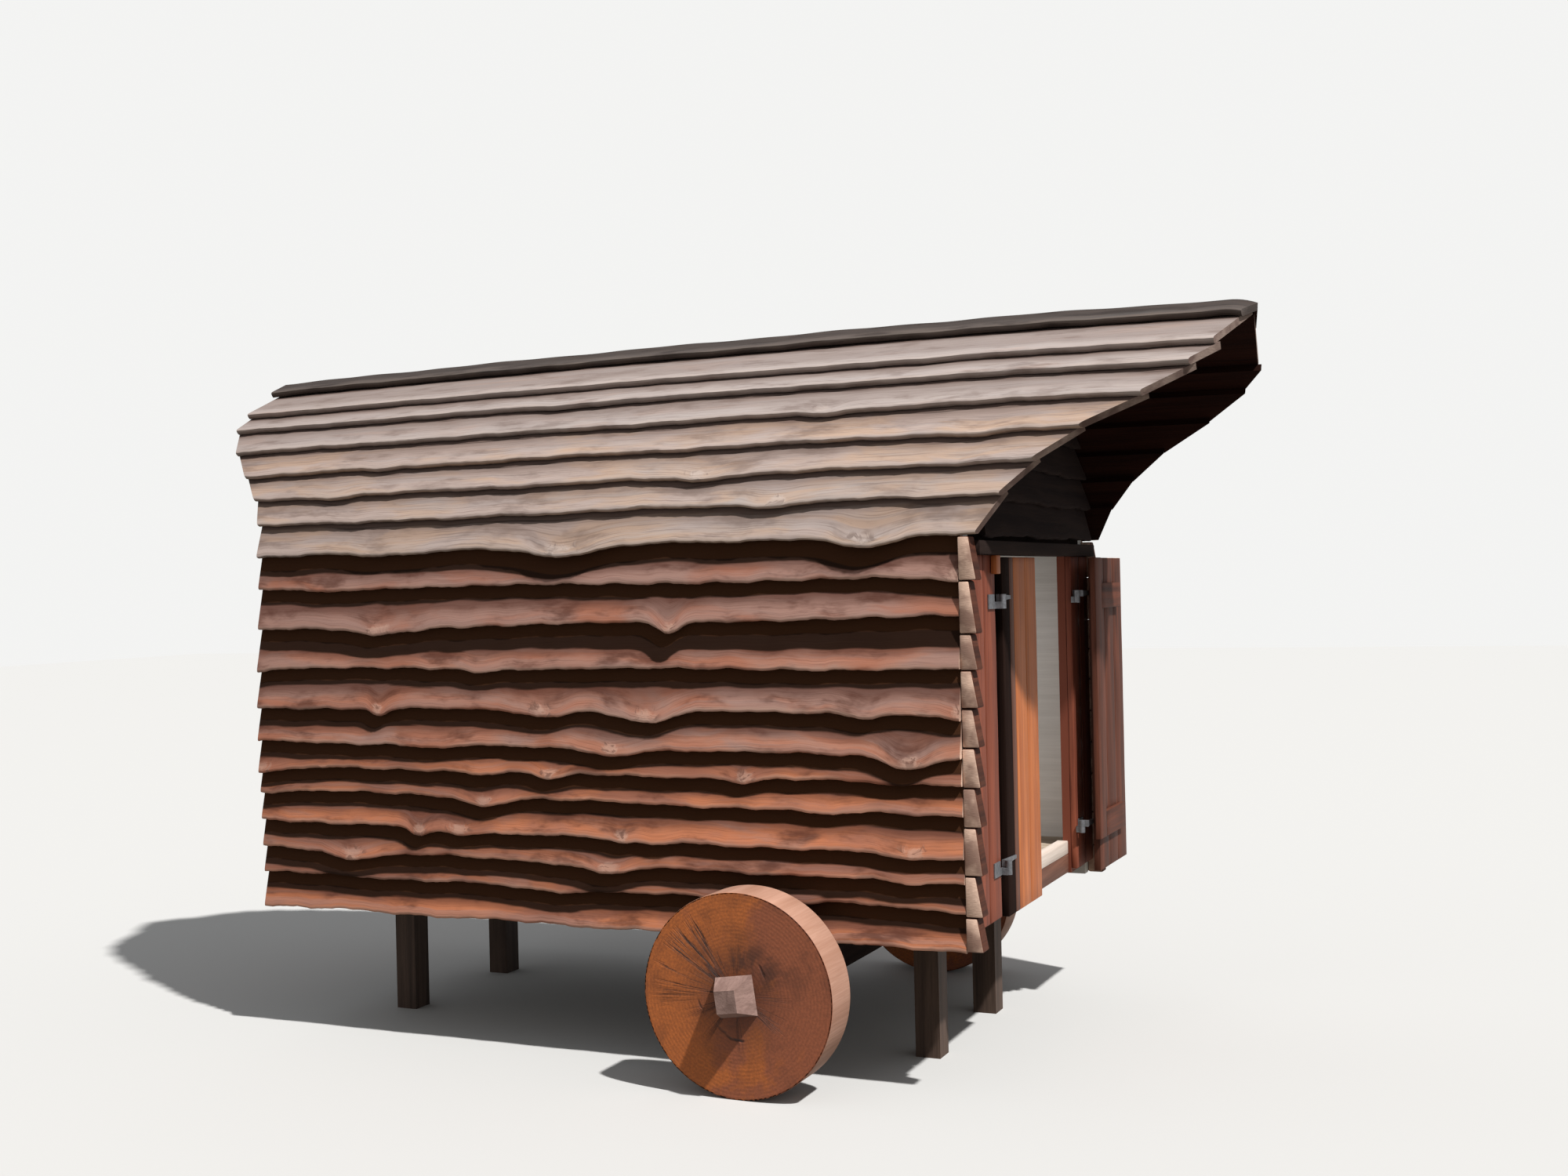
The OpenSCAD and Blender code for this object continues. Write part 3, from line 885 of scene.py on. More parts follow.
def pick(obj: bpy.types.Object, kind: str, test: Callable[[Vector, Vector], bool]) -> None:
    """Go to edit mode with the wanted elements selected.

    Args:
        obj: The mesh object.
        kind: "FACE", tested by its centre and normal together, or "EDGE", tested by its two ends.
        test: Says whether an element is wanted.
    """
    activate(obj)
    bpy.ops.object.mode_set(mode="EDIT")
    bpy.ops.mesh.select_mode(type=kind)
    bpy.ops.mesh.select_all(action="DESELECT")
    bpy.ops.object.mode_set(mode="OBJECT")
    mesh = obj.data
    if kind == "FACE":
        for face in mesh.polygons:
            face.select = test(face.center, face.normal)
    else:
        for edge in mesh.edges:
            edge.select = test(*(mesh.vertices[v].co for v in edge.vertices))
    bpy.ops.object.mode_set(mode="EDIT")


def join(name: str, parts: Sequence[bpy.types.Object]) -> bpy.types.Object:
    """Join mesh objects into one.

    Args:
        name: Name of the piece.
        parts: The objects, which share their slots.

    Returns:
        The piece.
    """
    deselect()
    for part in parts:
        part.select_set(True)
    bpy.context.view_layer.objects.active = parts[0]
    if len(parts) > 1:
        bpy.ops.object.join()
    parts[0].name = name
    parts[0].data.name = name
    return parts[0]


def smooth(obj: bpy.types.Object) -> None:
    """Shade smooth where faces meet at a low angle."""
    activate(obj)
    bpy.ops.object.shade_smooth_by_angle(angle=math.radians(35))


def dress(obj: bpy.types.Object, *materials: bpy.types.Material) -> None:
    """Give an object its material slots, and leave its faces in the slots they are in.

    Args:
        obj: The mesh object.
        materials: The materials, in the order of the slots.
    """
    slots = obj.data.materials
    for i, material in enumerate(materials):
        if i < len(slots):
            slots[i] = material
        else:
            slots.append(material)


def settle(obj: bpy.types.Object, body: str, slot: str, *nodes: str) -> None:
    """Let a piece ride on a body, and hide the nodes that it stands for.

    Args:
        obj: The piece.
        body: The body.
        slot: Not used.
        nodes: The nodes that it replaces.
    """
    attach(obj, body)
    if nodes:
        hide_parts(*nodes)
    LOG.info("%s rides on %s, %d faces", obj.name, body, len(obj.data.polygons))


def unevenness(x: np.ndarray, turn: float) -> np.ndarray:
    """A slow and a quick wave along a timber, x in metres, from -1 to 1."""
    return np.sin(x * 9 + turn) * 0.6 + np.sin(x * 23 + 2 * turn) * 0.4


def plank(
    name: str,
    low: Sequence[float],
    high: Sequence[float],
    grain: int,
    bevel: float = 3,
    wobble: float = 0.6,
    step: float = 60,
) -> bpy.types.Object:
    """Model a rectangular timber with eased edges and slight unevenness.

    Args:
        name: Name of the piece.
        low: Lowest corner, mm.
        high: Highest corner, mm.
        grain: Axis of the grain, 0 to 2.
        bevel: Width of the eased edges, mm.
        wobble: Largest unevenness of the faces, mm.
        step: Spacing of the rings along the grain, mm.

    Returns:
        The object, with UVs in metres along the grain and its ends in slot 1.
    """
    size = [(b - a) * MM for a, b in zip(low, high)]
    centre = [(a + b) / 2 * MM for a, b in zip(low, high)]
    deselect()
    bpy.ops.mesh.primitive_cube_add(size=1, location=centre, scale=size)
    obj = bpy.context.object
    obj.name = name
    apply_place(obj)
    long_edge = size[grain] * 0.9
    pick(obj, "EDGE", lambda a, b: abs(a[grain] - b[grain]) > long_edge)
    cuts = max(1, round(size[grain] / MM / step))
    bpy.ops.mesh.subdivide(number_cuts=min(cuts, 60))
    bpy.ops.mesh.select_all(action="DESELECT")
    bpy.ops.mesh.edges_select_sharp(sharpness=math.radians(40))
    bpy.ops.mesh.bevel(offset=bevel * MM, segments=2, affect="EDGES")
    bpy.ops.object.mode_set(mode="OBJECT")
    rng = random.Random(name)
    co = points_of(obj)
    along = co[:, grain]
    for axis in range(3):
        if axis != grain:
            wave = unevenness(along, rng.uniform(0, 6))
            inward = -np.sign(co[:, axis] - centre[axis])
            co[:, axis] += inward * (wave + 1) / 2 * wobble * MM
    set_points(obj, co)
    wrap(obj, grain, rng.uniform(0, 9))
    smooth(obj)
    return obj


def wrap(obj: bpy.types.Object, grain: int, shift: float) -> None:
    """Lay UVs in metres on a box-like mesh, u along the grain, and put its end faces in slot 1.

    Args:
        obj: The mesh object.
        grain: Axis of the grain, 0 to 2.
        shift: Offset of the pattern, so that no two timbers match.
    """
    mesh = obj.data
    layer = mesh.uv_layers.active or mesh.uv_layers.new(name="UVMap")
    sides = [a for a in range(3) if a != grain]
    for face in mesh.polygons:
        facing = max(range(3), key=lambda a: abs(face.normal[a]))
        face.material_index = 1 if facing == grain else 0
        u_axis = grain if facing != grain else sides[0]
        v_axis = sides[1] if facing in (grain, sides[0]) else sides[0]
        for loop in face.loop_indices:
            co = mesh.vertices[mesh.loops[loop].vertex_index].co
            layer.data[loop].uv = (co[u_axis] + shift, co[v_axis] + shift * 3 + facing * 0.37)


@dataclass(frozen=True)
class WaneyEdge:
    """Line of a waney edge, in height or up the slope of its board, as in the part's source.

    run is where it starts and ends, ends its two heights, row and phase turn its waves, and knots
    holds the dips of all rows. All but phase, in degrees, are in millimetres.
    """

    row: int
    run: Span
    ends: Span
    knots: Knots = ()
    phase: float = 0

    @property
    def length(self) -> float:
        """Length of the run."""
        return self.run[1] - self.run[0]

    def share(self, s: np.ndarray) -> np.ndarray:
        """Place along the run, 0 to 1."""
        return (s - self.run[0]) / self.length

    def mean(self, s: np.ndarray) -> np.ndarray:
        """Mean line of the edge, mm."""
        return self.ends[0] + self.share(s) * (self.ends[1] - self.ends[0])

    def line(self, s: np.ndarray) -> np.ndarray:
        """The edge itself, mm."""
        return self.mean(s) - self.drop(s)

    def drop(self, s: np.ndarray) -> np.ndarray:
        """How far the edge lies below its mean line.

        Args:
            s: Places along the board.

        Returns:
            The depths.
        """
        length, f, i = self.length, self.share(s), self.row
        a = np.radians(360 * f * length / (640 + 60 * i) + 97 * i + self.phase)
        b = np.radians(360 * f * length / (270 - 9 * i) + 53 * i + 2 * self.phase)
        out = SIZES.wave * (0.6 * np.sin(a) + 0.4 * np.sin(b))
        for row, place, depth, half in self.knots:
            if row == i:
                out = out + depth * np.exp(-(((f - place) * length / half) ** 2))
        return out


@dataclass
class WaneyBoard:
    """One board, flat in its own plane: s along it, v up across it, and a waney lower edge.

    ends and top_ends are the s of its lower and upper corners, foot is its outer face at v = 0, lean
    its lean in radians, top the v of its upper edge, and lap the v at which the board above covers
    it, for any s. tone is 0 to 1 from the warm to the cool wood. The painted shadow under a lap trails
    it by slant, as the sun falls sideways, and reaches further down by stain, mm at the rear and the front.
    """

    edge: WaneyEdge
    ends: Span
    top_ends: Span
    top: float
    foot: Sequence[float]
    lean: float
    lap: Callable[[np.ndarray], np.ndarray]
    tone: float = 0.5
    step: float = 15
    slant: float = 0.55
    stain: Span = (0, 0)
    # Points across the outer face and the inner one, as shares of the width
    face: tuple[float, ...] = (1.0, 0.8, 0.6, 0.42, 0.26)
    back: tuple[float, ...] = (0.35, 1.0)
    # Section of the waney edge: up from its lowest line and in from the outer face, mm
    nose: tuple[Span, ...] = ((24, 0.0), (9, 0.3), (3.2, 1.6), (0.5, 4.6), (0, 9.5), (2.2, 17), (8, 24))
    # Depths behind the outer face at which its hollows end, and at which the back begins, mm
    turns: Span = (3, 12)
    # Waves of the fine unevenness: length and depth, mm
    ripples: tuple[Span, ...] = ((170, 1.3), (88, 1.0), (43, 0.6), (24, 0.25))
    # Least depth of a dip that has a knot over it, mm
    knotty: float = 14

    def roughness(self, s: np.ndarray, rng: random.Random) -> np.ndarray:
        """Fine unevenness of the waney edge.

        Args:
            s: Places along the board.
            rng: Turns its waves.

        Returns:
            Heights, mm.
        """
        out = np.zeros_like(s)
        for length, depth in self.ripples:
            out += depth * np.sin(s / length * 2 * math.pi + rng.uniform(0, 6.3))
        return out

    def blooms(self, s: np.ndarray, height: np.ndarray) -> np.ndarray:
        """Strength of the knots' swirls, which stand over the dips of the edge.

        Args:
            s: Places along the board.
            height: Heights above its edge.

        Returns:
            Strengths, 0 to 1.
        """
        out = np.zeros_like(s)
        for row, place, depth, half in self.edge.knots:
            if row == self.edge.row and depth >= self.knotty:
                along = (self.edge.share(s) - place) * self.edge.length / (16 + 0.28 * half)
                out = np.maximum(out, np.exp(-(along**2) - ((height - 20) / 26) ** 2))
        return out

    def covered(self, s: np.ndarray, v: np.ndarray) -> np.ndarray:
        """How far the board above reaches down past each point, along the slanting light.

        Args:
            s: Places along the board.
            v: Places across it.

        Returns:
            Distances, mm, below 0 where nothing covers the point.
        """
        cover = self.lap(s) - v
        for _ in range(4):  # enough to settle
            cover = self.lap(s + self.slant * np.clip(cover, 0, 60)) - v
        return cover

    def build(self, facing: Facing) -> bpy.types.Object:
        """Model the board on one wall.

        Args:
            facing: The wall that it faces out of.

        Returns:
            The object: outer face in slot 0, inner face in slot 1, cut ends in slot 2.
        """
        rng = random.Random(f"{facing.value} {self.edge.row} {self.foot[1]:.0f}")
        profile = [(share, 0.0, 0.0) for share in self.face]
        profile += [(0.0, up, deep) for up, deep in self.nose]
        profile += [(share, 0.0, SIZES.board_t) for share in self.back]
        rows = len(profile)
        columns = max(5, round(abs(self.ends[1] - self.ends[0]) / self.step))
        deselect()
        bpy.ops.mesh.primitive_grid_add(x_subdivisions=columns, y_subdivisions=rows, size=2)
        obj = bpy.context.object
        co = points_of(obj)
        f = (co[:, 0] + 1) / 2
        j = np.rint((co[:, 1] + 1) / 2 * rows).astype(int)
        share, up, deep = (np.array([p[k] for p in profile])[j % rows] for k in range(3))
        s = self.ends[0] + f * (self.ends[1] - self.ends[0])
        mean = self.edge.mean(s)
        low = mean - self.edge.drop(s) + self.roughness(s, rng)
        v = low + up + share * (self.top - low)
        rise = np.clip((v - mean) / (self.top - mean), 0, 1)
        start = self.ends[0] + rise * (self.top_ends[0] - self.ends[0])
        end = self.ends[1] + rise * (self.top_ends[1] - self.ends[1])
        s = start + f * (end - start)
        hollow = np.sin(s / 310 + rng.uniform(0, 6)) * 0.5 + np.sin(s / 97 + v / 60 + rng.uniform(0, 6)) * 0.5
        sunk = deep + ((deep < self.turns[0]) & (share < 1)) * (0.8 + 0.8 * hollow)
        y = self.foot[0] - v * math.sin(self.lean) - sunk * math.cos(self.lean)
        z = self.foot[1] + v * math.cos(self.lean) - sunk * math.sin(self.lean)
        set_points(obj, facing.world(s, y, z))
        store(obj, "tone", np.full(len(co), self.tone + rng.uniform(-0.3, 0.3)))
        store(obj, "rim", (v - low) * MM + (deep > self.turns[1]) * 0.05)
        # Painted shadow under the lap: lap is how far the board above reaches past each point along the sunlight,
        # stain the same less how much further the painted shadow reaches
        cover = self.covered(s, v)
        store(obj, "lap", cover * MM)
        store(obj, "stain", (cover - np.interp(self.edge.share(s), (0, 1), self.stain)) * MM)
        store(obj, "knot", self.blooms(s, v - low) * (deep < self.turns[1]))
        follow = self.edge.drop(s) * (1 - rise) * 0.6
        self.lay_uv(obj, s, np.interp(j, range(rows + 1), self.girth(profile)) - follow, rng)
        inner = rows - 2
        for face in obj.data.polygons:
            face.material_index = 1 if np.mean(j[list(face.vertices)]) > inner - 1 else 0
        self.close(obj)
        return obj

    def girth(self, profile: Sequence[tuple[float, float, float]]) -> list[float]:
        """Distance round the section.

        Args:
            profile: Its points: share of the width, up and in.

        Returns:
            The distance at each point and once round, mm.
        """
        width = self.top - sum(self.edge.ends) / 2
        flat = [(p[0] * width + p[1], p[2]) for p in profile]
        out = [0.0]
        for a, b in zip(flat, flat[1:] + flat[:1]):
            out.append(out[-1] + math.dist(a, b))
        return out

    def lay_uv(self, obj: bpy.types.Object, s: np.ndarray, round_: np.ndarray, rng: random.Random) -> None:
        """Lay UVs in metres, u along the board and v round its section.

        Args:
            obj: The mesh object.
            s: Place of each vertex along the board, mm.
            round_: Place of each vertex round the section, mm.
            rng: Gives the shift that sets boards apart.
        """
        index = np.empty(len(obj.data.loops), int)
        obj.data.loops.foreach_get("vertex_index", index)
        u = s * MM + rng.uniform(0, 40)
        v = round_ * MM + rng.uniform(0, 40)
        obj.data.uv_layers.active.data.foreach_set("uv", np.stack([u[index], v[index]], 1).ravel())

    def close(self, obj: bpy.types.Object) -> None:
        """Close the seam along the board and its two ends, with normals outwards.

        Args:
            obj: The mesh object.
        """
        activate(obj)
        bpy.ops.object.mode_set(mode="EDIT")
        bpy.ops.mesh.select_mode(type="VERT")
        bpy.ops.mesh.select_all(action="SELECT")
        bpy.ops.mesh.remove_doubles(threshold=0.00002)
        bpy.ops.mesh.fill_holes(sides=0)
        bpy.ops.mesh.select_all(action="SELECT")
        bpy.ops.mesh.normals_make_consistent(inside=False)
        bpy.ops.object.mode_set(mode="OBJECT")
        for face in obj.data.polygons:
            if len(face.vertices) > 4:
                face.material_index = 2


@dataclass
class WallCladding:
    """The lapped boards of the walls, and the short boards of the front corners."""

    finishes: Finishes
    # Visible lower edges as shares of the wall height, and how much higher each is at the rear, mm
    lows: tuple[float, ...] = (0, 0.095, 0.165, 0.236, 0.329, 0.401, 0.468, 0.567, 0.676, 0.793, 0.897)
    runs: tuple[float, ...] = (2, 4, 6, 26, 12, 2, 8, 0, 6, -16, 12)
    # How much further the painted shadow reaches down each board, mm, and the part of it at the rear and front
    shadow_widening: tuple[float, ...] = (10, 12, 0, 0, 0, 0, 6, 11, 34, 0, 8)
    shadow_widening_ends: tuple[Span, Span] = ((14, 0.5), (0, 1.5))
    # How far the eaves stand below the top of the wall, mm
    eaves_drop: float = 12
    # Number of boards of the rear wall and of the wall over the doors
    rear_rows: int = 17
    gable_rows: int = 6
    # Gap between the door head and the boards over it, mm
    gable_gap: float = 12
    # How much the boards of an end wall are cut short at their lower edge and upper corners, mm
    end_ease: float = 4
    # Tone of the lowest board, and its rise to the next one
    side_tone: Span = (0.1, 0.065)
    end_tone: Span = (0.2, 0.035)
    # Lower edges of the corner boards, as shares of the wall height
    front_lows: tuple[float, ...] = (0, 0.082, 0.181, 0.296, 0.39, 0.485, 0.579, 0.67, 0.756, 0.883)
    # Gap round the corner boards, and how far the last one stays below the top of the wall, mm
    corner_gap: float = 0.5
    corner_drop: float = 13
    # Largest differences between corner boards: thickness at the top in mm, taper, and length in mm
    corner_loose: tuple[float, float, float] = (5, 0.05, 3)
    knots: Knots = (
        (1, 0.45, 10, 150), (1, 0.86, -8, 120), (2, 0.15, 24, 130), (2, 0.54, 26, 130), (2, 0.93, 10, 90),
        (3, 0.26, 26, 50), (3, 0.32, 14, 120), (3, 0.56, 18, 60), (3, 0.61, 12, 60), (3, 0.94, 16, 90),
        (4, 0, 10, 150), (4, 0.36, 28, 90), (4, 0.83, 12, 90),
        (5, 0, 24, 200), (5, 0.36, 12, 90), (5, 0.46, 20, 80), (5, 0.73, 14, 70), (5, 0.92, 8, 60),
        (6, 0.29, 13, 80), (6, 0.55, 22, 80), (6, 0.94, 36, 90),
        (7, 0.2, 26, 45), (7, 0.45, 20, 100), (7, 0.6, 38, 110), (7, 0.89, 12, 70), (7, 1, 20, 70),
        (8, 0, 12, 60), (8, 0.36, 9, 80), (9, 0.2, 22, 150), (9, 0.63, 36, 50),
        (10, 0.12, 8, 120), (10, 1, 14, 110),
    )  # fmt: skip

    def lapped(
        self, facing: Facing, run: Span, lows: Sequence[float], knots: Knots, phase: float
    ) -> list[bpy.types.Object]:
        """Build the boards of one wall.

        Args:
            facing: The wall.
            run: Ends of the boards, mm.
            lows: Heights of the lower edges, mm.
            knots: Dips along the edges.
            phase: Turns the waves, in degrees.

        Returns:
            The boards, lowest first.
        """
        size, boards = SIZES, []
        cut, sink = 1 / math.cos(size.tilt), size.board_t * math.tan(size.tilt)
        ends = [(low + rise / 2, low - rise / 2) for low, rise in zip(lows, self.runs)]
        edges = [WaneyEdge(i, run, pair, knots, phase) for i, pair in enumerate(ends)]
        roof_run = (size.rear_x, size.front_x + size.front_over * EAVES_REACH)
        eaves_z = size.wall_h - self.eaves_drop
        eaves = WaneyEdge(0, roof_run, (eaves_z, eaves_z), ROOF_KNOTS, ROOF_PHASES[facing.value][0])
        for i, edge in enumerate(edges):
            top = size.board_lap + (i + 1) * size.pitch
            own = WaneyEdge(i, run, tuple((end - top) * cut - sink for end in edge.ends), knots, phase)
            cover = edges[i + 1] if i + 1 < len(edges) else eaves
            foot = (
                size.panel_y + size.seat + size.board_t * math.cos(size.tilt),
                top + size.board_t * math.sin(size.tilt),
            )
            lap = partial(self.covered, cover, top, cut, sink)
            # How much further the painted shadow reaches, at the rear and the front
            stain = tuple(fixed + part * self.shadow_widening[i] for fixed, part in self.shadow_widening_ends)
            tone = self.side_tone[0] + self.side_tone[1] * i
            board = WaneyBoard(own, run, run, 0, foot, size.tilt, lap, tone, stain=stain)
            boards.append(board.build(facing))
        return boards

    @staticmethod
    def covered(cover: WaneyEdge, top: float, cut: float, sink: float, s: np.ndarray) -> np.ndarray:
        """Place across a board at which the edge of the next board covers it.

        Args:
            cover: Edge of the next board, in height.
            top: Height of the board's own top, mm.
            cut: Length across the board for each unit of height.
            sink: What its leaning top takes off, mm.
            s: Places along the board, mm.

        Returns:
            Places across it, mm.
        """
        return (cover.line(s) - top) * cut - sink

    def end_wall(self, facing: Facing, count: int, low: float, phase: float) -> list[bpy.types.Object]:
        """Build the boards of an end wall, cut to the arch of the roof.

        Args:
            facing: The wall.
            count: Number of boards.
            low: Height of the lowest one, mm.
            phase: Turns the waves, in degrees.

        Returns:
            The boards, lowest first.
        """
        size, boards = SIZES, []
        cut = 1 / math.cos(size.tilt)
        full = (-size.half_w, size.half_w)
        for i in range(count):
            top = low + size.board_lap + (i + 1) * size.pitch
            edge = -(size.pitch + size.board_lap) * cut - size.board_t * math.tan(size.tilt) + self.end_ease
            wide = size.half_at(top - size.pitch - size.board_lap)
            slim = size.half_at(top + self.end_ease)
            foot = (size.seat + size.board_t * math.cos(size.tilt), top + size.board_t * math.sin(size.tilt))
            own = WaneyEdge(i, full, (edge, edge), (), phase)
            above = WaneyEdge(i + 1, full, (edge + size.pitch * cut, edge + size.pitch * cut), (), phase)
            ends, tops, tone = (-wide, wide), (-slim, slim), self.end_tone[0] + self.end_tone[1] * i
            boards.append(WaneyBoard(own, ends, tops, 0, foot, size.tilt, above.line, tone).build(facing))
        return boards

    def build(self) -> None:
        """Build all wall boards and let them stand for their nodes."""
        size = SIZES
        side = (size.rear_x, size.face_x)
        lows = [f * size.wall_h for f in self.lows]
        turned = [(k[0], 1 - k[1], k[2], k[3]) for k in self.knots]
        gable_low = size.head_low + size.head_h + self.gable_gap
        walls = {
            "left_cladding": self.lapped(Facing.LEFT, side, lows, turned, 0),
            "right_cladding": self.lapped(Facing.RIGHT, side, lows, self.knots, 70),
            "rear_cladding": self.end_wall(Facing.REAR, self.rear_rows, 0, 40),
            "gable_cladding": self.end_wall(Facing.FRONT, self.gable_rows, gable_low, 70),
        }
        for node, boards in walls.items():
            f, dark = self.finishes, node == "gable_cladding"
            for board in boards:
                # The boards over the doors wear the near-black painted shade
                dress(board, f.gable if dark else f.wall, f.wall_back, f.gable if dark else f.board_end)
            piece = join(node.replace("cladding", "wall_boards"), boards)
            smooth(piece)
            settle(piece, "hut", "dark_wood" if dark else "red_wood", node)
        for side_name, hand in (("left", 1), ("right", -1)):
            self.corner(side_name, hand)

    def corner(self, side: str, hand: int) -> None:
        """Stack the short tapered boards that close a front corner.

        Args:
            side: "left" or "right".
            hand: 1 for the left side, -1 for the right.
        """
        size, f = SIZES, self.finishes
        out = size.half_w - size.panel_y
        tops = [*(share * size.wall_h for share in self.front_lows[1:]), size.wall_h - self.corner_drop]
        low_y, high_y = sorted((hand * size.half_w, hand * (size.door_half + size.casing_w + self.corner_gap)))
        back = size.face_x + size.seat
        boards = []
        for i, (low_share, top) in enumerate(zip(self.front_lows, tops)):
            low = low_share * size.wall_h
            name = f"{side}_corner_{i}"
            first = (back, low_y, low + size.ground_gap)
            last = (back + out, high_y, top + size.ground_gap - self.corner_gap)
            board = plank(name, first, last, AXIS_Y, bevel=6, wobble=1.5, step=12)
            rng = random.Random(name)
            co = points_of(board)
            rise = (co[:, 2] / MM - low - size.ground_gap) / (top - low)
            thin, taper, short = (rng.uniform(0, most) for most in self.corner_loose)
            bite = (size.board_t - thin) / out * rise + taper
            co[:, 0] -= (co[:, 0] - back * MM) * bite
            co[:, 1] -= hand * MM * short * (np.abs(co[:, 1]) > (size.half_w - 20) * MM)
            set_points(board, co)
            # Front faces near-black: painted shade between the tapered ends
            dress(board, f.corner, f.board_end)
            boards.append(board)
        piece = join(f"{side}_corner_boards", boards)
        settle(piece, "hut", "red_wood", f"{side}_front_boards")


@dataclass
class RoofCladding:
    """The boards of the roof, whose ends make the beak, and the two boards of the ridge."""

    finishes: Finishes
    # Share of the front reach at each lower edge
    reach: tuple[float, ...] = (EAVES_REACH, 0.13, 0.245, 0.41, 0.645, 0.81, 0.89, 0.955, 1)
    left_reach: tuple[float, ...] = (EAVES_REACH, 0.13, 0.245, 0.41, 0.645, 0.83, 0.92, 0.955, 1)
    # Tone of the lowest board, and its rise to the next one
    tone: Span = (0.25, 0.07)
    # How far the upper end of a board may pass the next one's lower corner: at the front, as a share
    # of the reach, and at the rear, as a stretch of the way to it
    front_pass: float = 0.02
    rear_stretch: float = 1.2
    # How far past a ridge board the edge lies that stands in for a board over it, mm
    uncovered: float = 90
    # Where the ridge is highest, and how far it sinks to the rear and the front, mm
    crest_x: float = 900
    crown: Span = (24, 12)
    # Length of the ridge's rounded tip and how far it drops, mm
    tip: Span = (90, 18)
    # Half the largest wear of the ridge boards, mm
    worn: float = 2.2

    def reach_of(self, facing: Facing) -> tuple[float, ...]:
        """Shares of the front reach on one side."""
        return self.left_reach if facing is Facing.LEFT else self.reach

    def boards(self, facing: Facing, phase: float) -> list[bpy.types.Object]:
        """Build the boards of one side.

        Args:
            facing: The side.
            phase: Turns the waves, in degrees.

        Returns:
            The boards, lowest first.
        """
        size, out, reach = SIZES, [], self.reach_of(facing)
        for i in range(size.roof_rows):
            p = size.arc(size.roof_at[i])
            width = float(np.linalg.norm(size.roof_top(i) - p))
            grow = width / float(np.linalg.norm(size.arc(size.roof_at[i + 1]) - p))
            fa = size.front_over * reach[i]
            fb = size.front_over * min(reach[i + 1] + self.front_pass, reach[i] + grow * (reach[i + 1] - reach[i]))
            ra = size.rear_over * size.rear_at[i]
            stretch = min(self.rear_stretch, grow)
            rb = size.rear_over * (size.rear_at[i] + stretch * (size.rear_at[i + 1] - size.rear_at[i]))
            ends = (size.rear_x - ra, size.front_x + fa)
            tops = (size.rear_x - rb, size.front_x + fb)
            d, lap = size.slope(i), width - size.tuck(i)
            above = WaneyEdge(i + 1, ends, (lap, lap), ROOF_KNOTS, phase)
            own = WaneyEdge(i, ends, (0, 0), ROOF_KNOTS, phase)
            lean, tone = math.atan2(-d[0], d[1]), self.tone[0] + self.tone[1] * i
            out.append(WaneyBoard(own, ends, tops, width, p, lean, above.line, tone).build(facing))
        return out

    def ridge(self, facing: Facing, phase: float) -> bpy.types.Object:
        """Build the ridge board of one side.

        Args:
            facing: The side.
            phase: Turns its waves, in degrees.

        Returns:
            The board, cut plumb at the middle.
        """
        size, i = SIZES, SIZES.roof_rows
        p, d = size.arc(size.roof_at[i]), size.slope(i)
        width = float(np.linalg.norm(size.ridge - p))
        ends = (
            size.rear_x - size.rear_over * size.rear_at[i],
            size.front_x + size.front_over * self.reach_of(facing)[i],
        )
        tops = (size.rear_x - size.rear_over, size.front_x + size.front_over)
        far = width + self.uncovered
        own, bare = WaneyEdge(i, ends, (0, 0), (), phase), WaneyEdge(i, ends, (far, far))
        lean = math.atan2(-d[0], d[1])
        piece = WaneyBoard(own, ends, tops, width + size.board_t, p, lean, bare.mean).build(facing)
        self.trim(piece, facing)
        return piece

    def bow(self, piece: bpy.types.Object) -> None:
        """Let the roof sink toward its two ends, fully at the ridge and not at all at the eaves.

        Args:
            piece: Boards of the roof or of the ridge.
        """
        size, co = SIZES, points_of(piece)
        middle = self.crest_x * MM
        rear, front = (size.rear_x - size.rear_over) * MM, (size.front_x + size.front_over) * MM
        behind = np.clip((middle - co[:, 0]) / (middle - rear), 0, 1) ** 2 * self.crown[0]
        ahead = np.clip((co[:, 0] - middle) / (front - middle), 0, 1) ** 2 * self.crown[1]
        eaves = (size.ground_gap + size.wall_h) * MM
        high = np.clip((co[:, 2] - eaves) / (size.roof_rise * MM), 0, 1)
        co[:, 2] -= (behind + ahead) * high * MM
        set_points(piece, co)

    def wear(self, piece: bpy.types.Object) -> None:
        """Wear a ridge board down unevenly, and round it off at the front.

        Args:
            piece: The ridge board.
        """
        co = points_of(piece)
        front = (SIZES.front_x + SIZES.front_over) * MM
        tip = np.clip((co[:, 0] - front) / self.tip[0] / MM + 1, 0, 1) ** 2 * self.tip[1]
        waves = self.worn * (1 + unevenness(co[:, 0], 0))
        co[:, 2] -= (tip + waves) * MM
        set_points(piece, co)

    def trim(self, piece: bpy.types.Object, facing: Facing) -> None:
        """Cut a ridge board plumb at the middle of the hut.

        Args:
            piece: The ridge board.
            facing: The side of the roof that it lies on.
        """
        side = 1 if facing is Facing.LEFT else -1
        activate(piece)
        bpy.ops.object.mode_set(mode="EDIT")
        bpy.ops.mesh.select_all(action="SELECT")
        bpy.ops.mesh.bisect(plane_co=(0, side * 0.0002, 0), plane_no=(0, side, 0), clear_inner=True, use_fill=True)
        bpy.ops.object.mode_set(mode="OBJECT")

